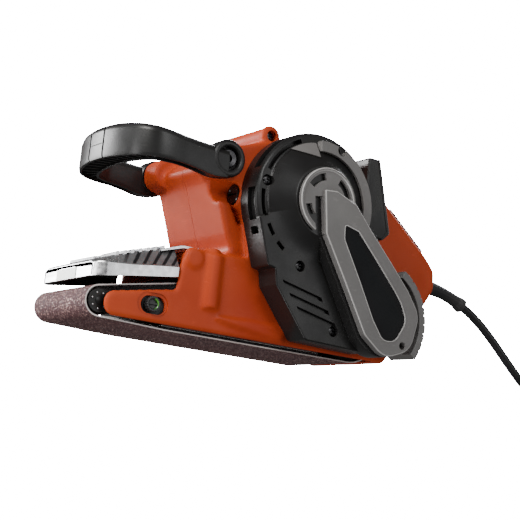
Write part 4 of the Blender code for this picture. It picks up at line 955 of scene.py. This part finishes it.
def paint_edge_highlights(piece, lowest=-0.99, highest=-0.3):
    """The narrow rounded faces of an edge take the second, brighter finish: a painted highlight."""
    count = 0
    for face in piece.data.polygons:
        if lowest < face.normal.y < highest and face.area < 0.00003 and abs(face.center.y) > 0.0795:
            face.material_index = 1
            count += 1
    print(piece.name, "edge highlight faces:", count)


# The arm's rounded near edges take the brighter grey: a painted highlight.
paint_edge_highlights(cover_frame)


def grown(outline, distance):
    """The outline moved outwards; its corners run either way round."""
    area = sum(a[0] * b[1] - b[0] * a[1] for a, b in zip(outline, outline[1:] + outline[:1]))
    way = 1.0 if area > 0 else -1.0
    out = []
    for before, here, after in zip(outline[-1:] + outline[:-1], outline, outline[1:] + outline[:1]):
        run = Vector(after) - Vector(before)
        normal = Vector((run.y, -run.x)).normalized() * way
        out.append(tuple(Vector(here) + normal * distance))
    return out


# A thin ring of the brighter grey round the panel: a painted highlight along the panel's border.
panel_highlight_rim = slab("panel_highlight_rim", grown(rounded(PANEL), 0.55), -81.2, -80.2)
combine(panel_highlight_rim, [slab("rim_room", grown(rounded(PANEL), -0.05), -84.0, -78.0)])
settle(panel_highlight_rim, edge_highlight_grey, "chassis", [])

panel = slab("label_panel", rounded(PANEL), -80.6, -79.95)
use(panel, "BEVEL", width=0.0003, segments=2, limit_method="ANGLE", angle_limit=math.radians(60))
settle(panel, label_plastic, "chassis", ["cover_panel"])

# %% [markdown]
# The grey disc in front of the motor shaft has a raised rim and three curved slots. The wall that
# wraps the roller end is crossed by fine grooves.

# %% Cover disc and rear band
disc = lathe("slotted_disc", MOTOR, [(0.0, -75.9), (23.4, -75.9), (23.4, -78.3), (22.8, -78.9), (21.8, -78.9),
                                     (21.2, -78.2), (0.0, -78.2)], turns=96)
for start in (104.0, 16.0, 196.0):
    slot_line = arc(MOTOR, 19.6, start, start + 47.0) + arc(MOTOR, 14.6, start + 47.0, start)
    combine(disc, [slab("disc_slot", slot_line, -82.0, -75.0)])
combine(disc, [slab("disc_side_slot", [(31.4, 103.5), (37.3, 104.5), (41.6, 78.0), (34.6, 76.0)],
                    -84.0, -75.2)])
settle(disc, grey_plastic, "chassis", ["cover_disc"], extra=(edge_highlight_grey,))
# The rounded faces of the disc's raised rim take the brighter grey: a painted highlight.
for face in disc.data.polygons:
    spot = Vector((face.center.x * 1000 - MOTOR[0], face.center.z * 1000 - MOTOR[1]))
    if 21.0 < spot.length < 23.5 and -0.97 < face.normal.y < -0.3:
        face.material_index = 1

band = slab("roller_end_wall", arc(REAR, 43.0, 62.0, -34.0, 48) + arc(REAR, 37.0, -34.0, 62.0, 48),
            -72.0, -44.4, bevel=0.7)
lower_room = slab("lower_room", rounded(LOWER), -80.0, -40.0)
for vert in lower_room.data.vertices:
    offset = Vector((vert.co.x - 0.070, vert.co.z - 0.055)).normalized() * 0.0005
    vert.co.x += offset.x
    vert.co.z += offset.y
combine(band, [lower_room])
for i in range(9):
    angle = math.radians(48.0 - 9.0 * i)
    out = Vector((math.cos(angle), math.sin(angle)))
    across = Vector((-out.y, out.x)) * 0.55
    near_edge, far_edge = Vector(REAR) + out * 41.6, Vector(REAR) + out * 45.0
    line = [tuple(p) for p in (near_edge - across, far_edge - across, far_edge + across, near_edge + across)]
    combine(band, [slab("band_groove", line, -74.0, -40.0)])
settle(band, grey_plastic, "chassis", ["cover_rear_band"])

# %% [markdown]
# A screw is spun: a low dome on a short shank. A cross is cut into each head.

# %% Screws
def cross_screw(name, centre, radius, face, foot, node):
    step = 1.0 if foot > face else -1.0
    head = lathe(name, centre,
                 [(0.0, face), (radius * 0.6, face + step * 0.15), (radius - 0.5, face + step * 0.6),
                  (radius, face + step * 1.3), (radius, foot), (0.0, foot)], turns=40)
    long_arm, thin_arm = radius * 0.62, radius * 0.16
    x, z = centre
    bars = [box_line(x - a, z - b, x + a, z + b) for a, b in ((long_arm, thin_arm), (thin_arm, long_arm))]
    combine(head, [slab("screw_cut", bar, face - step * 2.0, face + step * 1.6) for bar in bars])
    settle(head, screw_steel, "chassis", [node])


for node, centre in SCREWS.items():
    cross_screw(node + "_head", centre, 3.3, -64.4, -60.1, node)
for side, word in ((-1, "left"), (1, "right")):
    cross_screw("housing_" + word + "_screw_head", TUBE, 3.5, side * 39.5, side * 35.0,
                "housing_screw_" + word)
    bolt = lathe("handle_bolt_" + word, EYE, [(0.0, side * 50.4), (2.6, side * 50.4), (2.9, side * 52.8),
                                              (5.6, side * 53.3), (6.6, side * 52.6), (6.8, side * 49.9),
                                              (3.0, side * 49.9), (3.0, side * 33.0), (0.0, side * 33.0)],
                                              turns=48)
    settle(bolt, screw_steel, "chassis", ["handle_screw_" + word])

# %% [markdown]
# The sanding belt is a thin endless cloth. The loop's outline is extruded across the machine, and a
# Solidify modifier gives it thickness on the inside; the rim it makes takes the pale finish of cut
# cloth, which is the light line that follows the belt's edge.

# %% Sanding belt
def around(points):
    """Corners of the tight loop round a set of points, in order."""
    ordered = sorted(set((round(x, 4), round(z, 4)) for x, z in points))
    chains = []
    for sequence in (ordered, ordered[::-1]):
        chain = []
        for p in sequence:
            while len(chain) >= 2:
                (ax, az), (bx, bz) = chain[-2], chain[-1]
                if (bx - ax) * (p[1] - az) - (bz - az) * (p[0] - ax) > 1e-7:
                    break
                chain.pop()
            chain.append(p)
        chains.append(chain[:-1])
    return chains[0] + chains[1]


def belt_loop(grow):
    return around(arc(AXLE, 10.5 + grow, 0, 357, 90) + arc(REAR, 30.0 + grow, 0, 357, 120)
                  + [(-52.0, -grow)])


belt = slab("cloth_belt", belt_loop(0.0), -38.0, 38.0)
start_edit(belt, select=False)
shape = bmesh.from_edit_mesh(belt.data)
for face in shape.faces:
    face.select = len(face.verts) > 8
bmesh.update_edit_mesh(belt.data)
bpy.ops.mesh.delete(type="ONLY_FACE")
bpy.ops.object.mode_set(mode="OBJECT")
belt.data.materials.append(sanding_cloth)
belt.data.materials.append(cloth_edge)
use(belt, "SOLIDIFY", thickness=0.0009, offset=-1.0, use_even_offset=True, material_offset_rim=1)
settle(belt, None, "chassis", ["sanding_belt"], angle=30)

# %% [markdown]
# The idler roller at the nose sits in a black yoke. The near arm of the yoke ends in a round boss with
# a ring of small bright rivets, and it fills the end of the belt's loop. The roller itself is spun
# with a slight crown, which keeps a belt in the middle.

# %% Front roller and yoke
yoke = slab("yoke_bridge", box_line(-90.3, 6.2, -86.1, 17.8), -35.8, 35.8, bevel=0.5)
yoke_parts = []
for side in (-1, 1):
    arm_line = arc(AXLE, 7.9, 65, 295, 40) + box_line(-90.0, 5.6, -86.1, 18.4)
    yoke_parts.append(slab("yoke_arm", arm_line, side * 34.2, side * 37.2, bevel=0.4))
    yoke_parts.append(lathe("yoke_boss", AXLE, [(0.0, side * 36.9), (2.2, side * 36.9), (2.6, side * 37.5),
                                                (1.6, side * 37.9), (0.0, side * 37.9)], turns=24))
gather(yoke, yoke_parts)
paint(yoke, black_plastic, ground_steel)
rivets = []
for i in range(7):
    turn_to = math.radians(62.0 + 51.4 * i)
    spot = (AXLE[0] + 5.3 * math.cos(turn_to), AXLE[1] + 5.3 * math.sin(turn_to))
    rivets.append(lathe("rivet", spot, [(0.0, -36.9), (0.75, -36.9), (0.6, -37.6), (0.0, -37.8)], turns=12))
rivet_ring = gather(rivets[0], rivets[1:])
gather(yoke, [paint(rivet_ring, black_plastic, ground_steel, index=1)])
settle(yoke, None, "roller_yoke", ["roller_yoke"])
drum = lathe("idler_drum", AXLE,
             [(3.3, -33.2), (7.8, -33.2), (8.5, -32.6), (8.72, -31.4), (8.88, -12.0), (8.9, 0.0),
              (8.88, 12.0), (8.72, 31.4), (8.5, 32.6), (7.8, 33.2), (3.3, 33.2)])
settle(drum, ground_steel, "front_roller", ["front_roller"])

# %% [markdown]
# The tracking knob is a small ribbed wheel behind its window. Its outline is a circle with a groove
# at every rib, extruded and bevelled. A ring inside is green only on its half towards the back and dark on
# the rest: a painted green highlight on that side.

# %% Tracking knob
KNOB = (-66.0, 15.0)
ribbed = []
for i in range(72):
    turn_to = math.tau * i / 72
    reach = 5.15 if i % 4 < 2 else 4.75
    ribbed.append((KNOB[0] + reach * math.cos(turn_to), KNOB[1] + reach * math.sin(turn_to)))
knob = slab("ribbed_knob", ribbed, -46.2, -41.9, bevel=0.25)
combine(knob, [round_hole("knob_dish", KNOB, 3.9, -50.0, -44.6)])
stem = lathe("knob_stem", KNOB, box_line(0.0, -42.2, 2.2, -35.0), turns=24)
pointer = slab("knob_pointer", box_line(-69.4, 14.4, -62.6, 15.6), -46.0, -44.2, bevel=0.2)
gather(knob, [stem, pointer])
paint(knob, button_plastic, knob_plastic)
insert = lathe("knob_insert", KNOB, [(3.1, -44.5), (3.8, -44.5), (3.8, -46.3), (3.1, -46.0)], turns=40)
paint(insert, button_plastic, knob_plastic)
# Green only on the faces behind the knob's centre: a painted highlight on that side of the insert; the rest
# stays dark.
for face in insert.data.polygons:
    face.material_index = 1 if face.center.x > -0.0652 else 0
gather(knob, [insert])
settle(knob, None, "tracking_knob", ["tracking_knob"])

# %% [markdown]
# Small fittings each take a few moves. The brush caps are spun and slotted for a coin; the rubber strip
# on the rear handle has cross grooves; the trigger has shallow finger grooves; the duct is a square
# tube with a raised rim round its mouth.

# %% Brush caps
for word, face_x, foot_x in (("front", -8.4, -0.5), ("rear", 95.2, 88.6)):
    step = 1.0 if foot_x > face_x else -1.0
    cap = lathe("brush_cap_body", BRUSH, [(0.0, face_x + step * 0.5), (4.8, face_x + step * 0.5),
                                                   (5.2, face_x), (6.4, face_x), (7.0, face_x + step * 0.7),
                                                   (7.0, foot_x), (0.0, foot_x)], axis="X", turns=48)
    coin = slab("coin_slot", box_line(-40.6, 101.2, -30.4, 102.8),
                face_x - step * 1.0, face_x + step * 1.9, axis="X")
    combine(cap, [coin])
    cap.name = cap.data.name = "brush_cap_" + word + "_body"
    settle(cap, gloss_black, "chassis", ["brush_cap_" + word])

# %% Rear grip strip, trigger and lock button
start = GRIP_TOP + slope * 9.0 + rise * 0.3
stop = GRIP_FOOT - slope * 2.5 + rise * 0.3
strip = slab("grip_strip", [tuple(p) for p in (start, stop, stop + rise * 2.8, start + rise * 2.8)],
             -13.0, 13.0, bevel=0.9, steps=3)
length = (stop - start).length
for i in range(11):
    spot = start + slope * (4.0 + (length - 8.0) * i / 10.0)
    line = [spot - slope * 0.55 + rise * 2.0, spot + slope * 0.55 + rise * 2.0,
            spot + slope * 0.75 + rise * 4.0,
            spot - slope * 0.75 + rise * 4.0]
    combine(strip, [slab("strip_groove", [tuple(p) for p in line], -20.0, 20.0)])
settle(strip, black_rubber, "chassis", ["rear_soft_grip"])

mid = trigger_spot
half = slope * 15.0
trigger_line = [mid - half - rise * 9.0, mid - half * 0.2 - rise * 10.5, mid + half - rise * 9.0,
                mid + half + rise * 6.0, mid - half + rise * 6.0]
lever = slab("trigger_body", [tuple(p) for p in trigger_line], -8.2, 8.2, bevel=1.6, steps=4)
for i in range(4):
    spot = mid - slope * 8.5 + slope * 5.6 * i - rise * 11.4
    combine(lever, [round_hole("finger_groove", tuple(spot), 1.9, -12.0, 12.0, sides=24)])
settle(lever, button_plastic, "trigger", ["trigger"])
button = lathe("lock_button_body", BUTTON, [(0.0, -21.5), (2.2, -21.4), (3.5, -21.0), (4.1, -20.3),
                                                    (4.3, -19.4), (4.3, -14.0), (0.0, -14.0)], turns=40)
settle(button, button_plastic, "lock_button", ["lock_button"])

# %% Dust outlet and tension lever
duct = slab("duct_body",
            rounded([(95.6, 93.0, 2.0), (114.0, 91.0, 3.0), (120.0, 97.0, 3.0), (105.5, 150.0, 3.0),
                                  (95.6, 150.0, 2.0)]), -51.6, -21.4, bevel=1.4, steps=3)
combine(duct,
        [slab("duct_mouth", [(98.5, 96.5), (130.0, 100.0), (118.0, 146.5), (98.5, 146.5)], -48.8, -24.2)])
rim_outer = slab("duct_rim",
                 rounded([(112.4, 91.2, 1.0), (114.0, 91.1, 2.5), (119.9, 97.0, 3.0), (105.6, 149.9, 2.5),
                                      (103.6, 149.9, 0.6), (117.0, 98.2, 2.0)]), -52.0, -21.0, bevel=0.4)
combine(rim_outer,
        [slab("rim_mouth", [(90.0, 98.0), (130.0, 100.0), (118.0, 146.0), (90.0, 146.5)], -49.8, -23.2)])
gather(duct, [rim_outer])
settle(duct, black_plastic, "chassis", ["dust_outlet"], extra=(edge_highlight_grey,))
# The rim's faces that turn to the back and the near side take the brighter grey: a painted highlight along
# the mouth.
for face in duct.data.polygons:
    if face.center.x > 0.1040 and face.normal.x > 0.3 and -0.95 < face.normal.y < -0.2:
        face.material_index = 1
release = slab("release_lever",
               arc((-54.0, 40.5), 4.2, 80, 272, 24) + arc((-4.0, 41.4), 2.6, -88, 82, 18), 8.4, 16.6,
               bevel=1.0, steps=3, axis="Z")
combine(release, [slab("lever_bore", arc((-54.0, 40.5), 2.2, 0, 345, 24), 0.0, 30.0, axis="Z")])
for i in range(6):
    x = -14.0 + 2.2 * i
    combine(release, [slab("thumb_groove", box_line(x, 43.2, x + 0.9, 46.0), 7.0, 18.0, axis="Z")])
settle(release, black_plastic, "tension_lever", ["tension_lever"])

# %% [markdown]
# The drive roller's rubber sleeve is spun with fine grooves that shed the dust. The plug is a flat
# moulded body with a waist of grip ribs and two round pins.

# %% Drive roller sleeve and plug
tread = [(24.0, -35.9), (27.6, -35.9), (28.6, -35.0)]
for i in range(15):
    y = -33.0 + 4.7 * i
    tread += [(28.7, y), (28.1, y + 0.5), (28.1, y + 1.1), (28.7, y + 1.6)]
tread += [(28.7, 36.0), (27.9, 36.9), (24.0, 36.9)]
sleeve = lathe("roller_sleeve", REAR, tread, turns=72)
settle(sleeve, roller_rubber, "drive_roller", ["drive_roller_sleeve"])

PLUG_X, PLUG_Y = 424.6, -102.3
plug_line = [(PLUG_X + side, PLUG_Y - run) for run, side in
             ((0.0, 7.0), (5.0, 9.6), (9.0, 13.4), (14.0, 14.4), (27.0, 14.4), (29.9, 12.4), (29.9, -12.4),
              (27.0, -14.4), (14.0, -14.4), (9.0, -13.4), (5.0, -9.6), (0.0, -7.0))]
plug = slab("plug_body", plug_line, 0.4, 14.2, bevel=2.2, steps=4, axis="Z")
for i in range(4):
    run = 11.5 + 3.0 * i
    for side in (-1, 1):
        line = box_line(PLUG_X + side * 13.4, PLUG_Y - run, PLUG_X + side * 16.0, PLUG_Y - run - 1.3)
        combine(plug, [slab("plug_groove", line, -1.0, 16.0, axis="Z")])
paint(plug, cord_sheath, ground_steel)
pins = []
for side in (-9.5, 9.5):
    pin = lathe("pin", (0.0, 0.0), [(0.0, 0.0), (2.0, 0.0), (2.0, 21.6), (1.2, 22.8), (0.0, 23.0)],
                axis="Z", turns=24)
    for vert in pin.data.vertices:
        x, y, z = vert.co
        vert.co = ((PLUG_X + side) * 0.001 + x, (PLUG_Y - 25.0) * 0.001 - z, 0.0072 + y)
    paint(pin, cord_sheath, ground_steel, index=1)
    start_edit(pin)
    close_edit()
    pins.append(pin)
gather(plug, pins)
settle(plug, None, "chassis", ["mains_plug"])

# %% [markdown]

# %% [markdown]
# The stage is a plain pale floor under soft lights. The camera stands below the floor's level, so the
# floor's material is only solid for rays that meet its upper face: from above it is a pale surface
# that catches the shadows, and from below it lets the view through.

# %% Floor
clear_selection()
bpy.ops.mesh.primitive_plane_add(size=8.0, location=(0.15, 0.0, -0.0006))
floor = bpy.context.object
floor.name = "floor"
pale = bpy.data.materials.new("pale_floor")
pale.use_nodes = True
tree = pale.node_tree
surface = tree.nodes["Principled BSDF"]
surface.inputs["Base Color"].default_value = (0.82, 0.82, 0.82, 1.0)
surface.inputs["Roughness"].default_value = 0.85
side = tree.nodes.new("ShaderNodeNewGeometry")
path = tree.nodes.new("ShaderNodeLightPath")
front = tree.nodes.new("ShaderNodeMath")
front.operation = "SUBTRACT"
front.use_clamp = True
tree.links.new(path.outputs["Is Camera Ray"], front.inputs[0])
tree.links.new(side.outputs["Backfacing"], front.inputs[1])
clear = tree.nodes.new("ShaderNodeBsdfTransparent")
choose = tree.nodes.new("ShaderNodeMixShader")
tree.links.new(front.outputs[0], choose.inputs[0])
tree.links.new(clear.outputs[0], choose.inputs[1])
tree.links.new(surface.outputs[0], choose.inputs[2])
tree.links.new(choose.outputs[0], tree.nodes["Material Output"].inputs["Surface"])
floor.data.materials.append(pale)
print("floor at", round(floor.location.z, 4))

# %% [markdown]
# Soft boxes do the lighting. The key stands high in front of the nose, two more fill the nose from
# the far side and from ahead, two weaker ones stand beside the drive cover, a rim light behind draws
# bright lines along the edges, and a low one lifts the underside. The world is white to the eye but
# dim as a light, so the plastics keep their depth.

# %% Light
def soft_box(name, spot, aim, width, height, watts, tint=(1.0, 1.0, 1.0)):
    lamp = bpy.data.lights.new(name, "AREA")
    lamp.shape = "RECTANGLE"
    lamp.size = width
    lamp.size_y = height
    lamp.energy = watts
    lamp.color = tint
    holder = bpy.data.objects.new(name, lamp)
    bpy.context.scene.collection.objects.link(holder)
    holder.location = spot
    direction = Vector(aim) - Vector(spot)
    holder.rotation_mode = "QUATERNION"
    holder.rotation_quaternion = direction.to_track_quat("-Z", "Y")
    return holder


soft_box("key_light", (-1.15, -0.35, 1.0), (0.0, 0.0, 0.08), 0.55, 0.55, 21.0, (1.0, 0.98, 0.95))
soft_box("nose_light", (-0.75, 0.95, 0.33), (-0.09, 0.0, 0.1), 0.55, 0.6, 20.0)
soft_box("front_light", (-1.3, 0.0, 0.2), (-0.05, 0.0, 0.08), 0.4, 0.6, 5.0)
soft_box("cover_light", (-0.1, -1.5, 0.75), (0.06, -0.05, 0.08), 0.5, 0.5, 8.0)
soft_box("side_panel", (0.95, -1.7, 0.4), (0.0, -0.04, 0.05), 1.0, 0.9, 4.6)
soft_box("rim_light", (0.9, 0.5, 0.9), (0.05, 0.0, 0.1), 0.9, 0.4, 18.0, (0.96, 0.98, 1.0))
soft_box("low_light", (-0.6, -0.5, -0.7), (-0.03, 0.0, 0.0), 0.6, 0.4, 4.5)
world = bpy.data.worlds.new("studio")
bpy.context.scene.world = world
world.use_nodes = True
sky = world.node_tree.nodes["Background"]
sky.inputs["Color"].default_value = (1.0, 1.0, 1.0, 1.0)
seen = world.node_tree.nodes.new("ShaderNodeLightPath")
power = world.node_tree.nodes.new("ShaderNodeMapRange")
power.inputs["To Min"].default_value = 0.13
power.inputs["To Max"].default_value = 40.0
world.node_tree.links.new(seen.outputs["Is Camera Ray"], power.inputs["Value"])
world.node_tree.links.new(power.outputs["Result"], sky.inputs["Strength"])
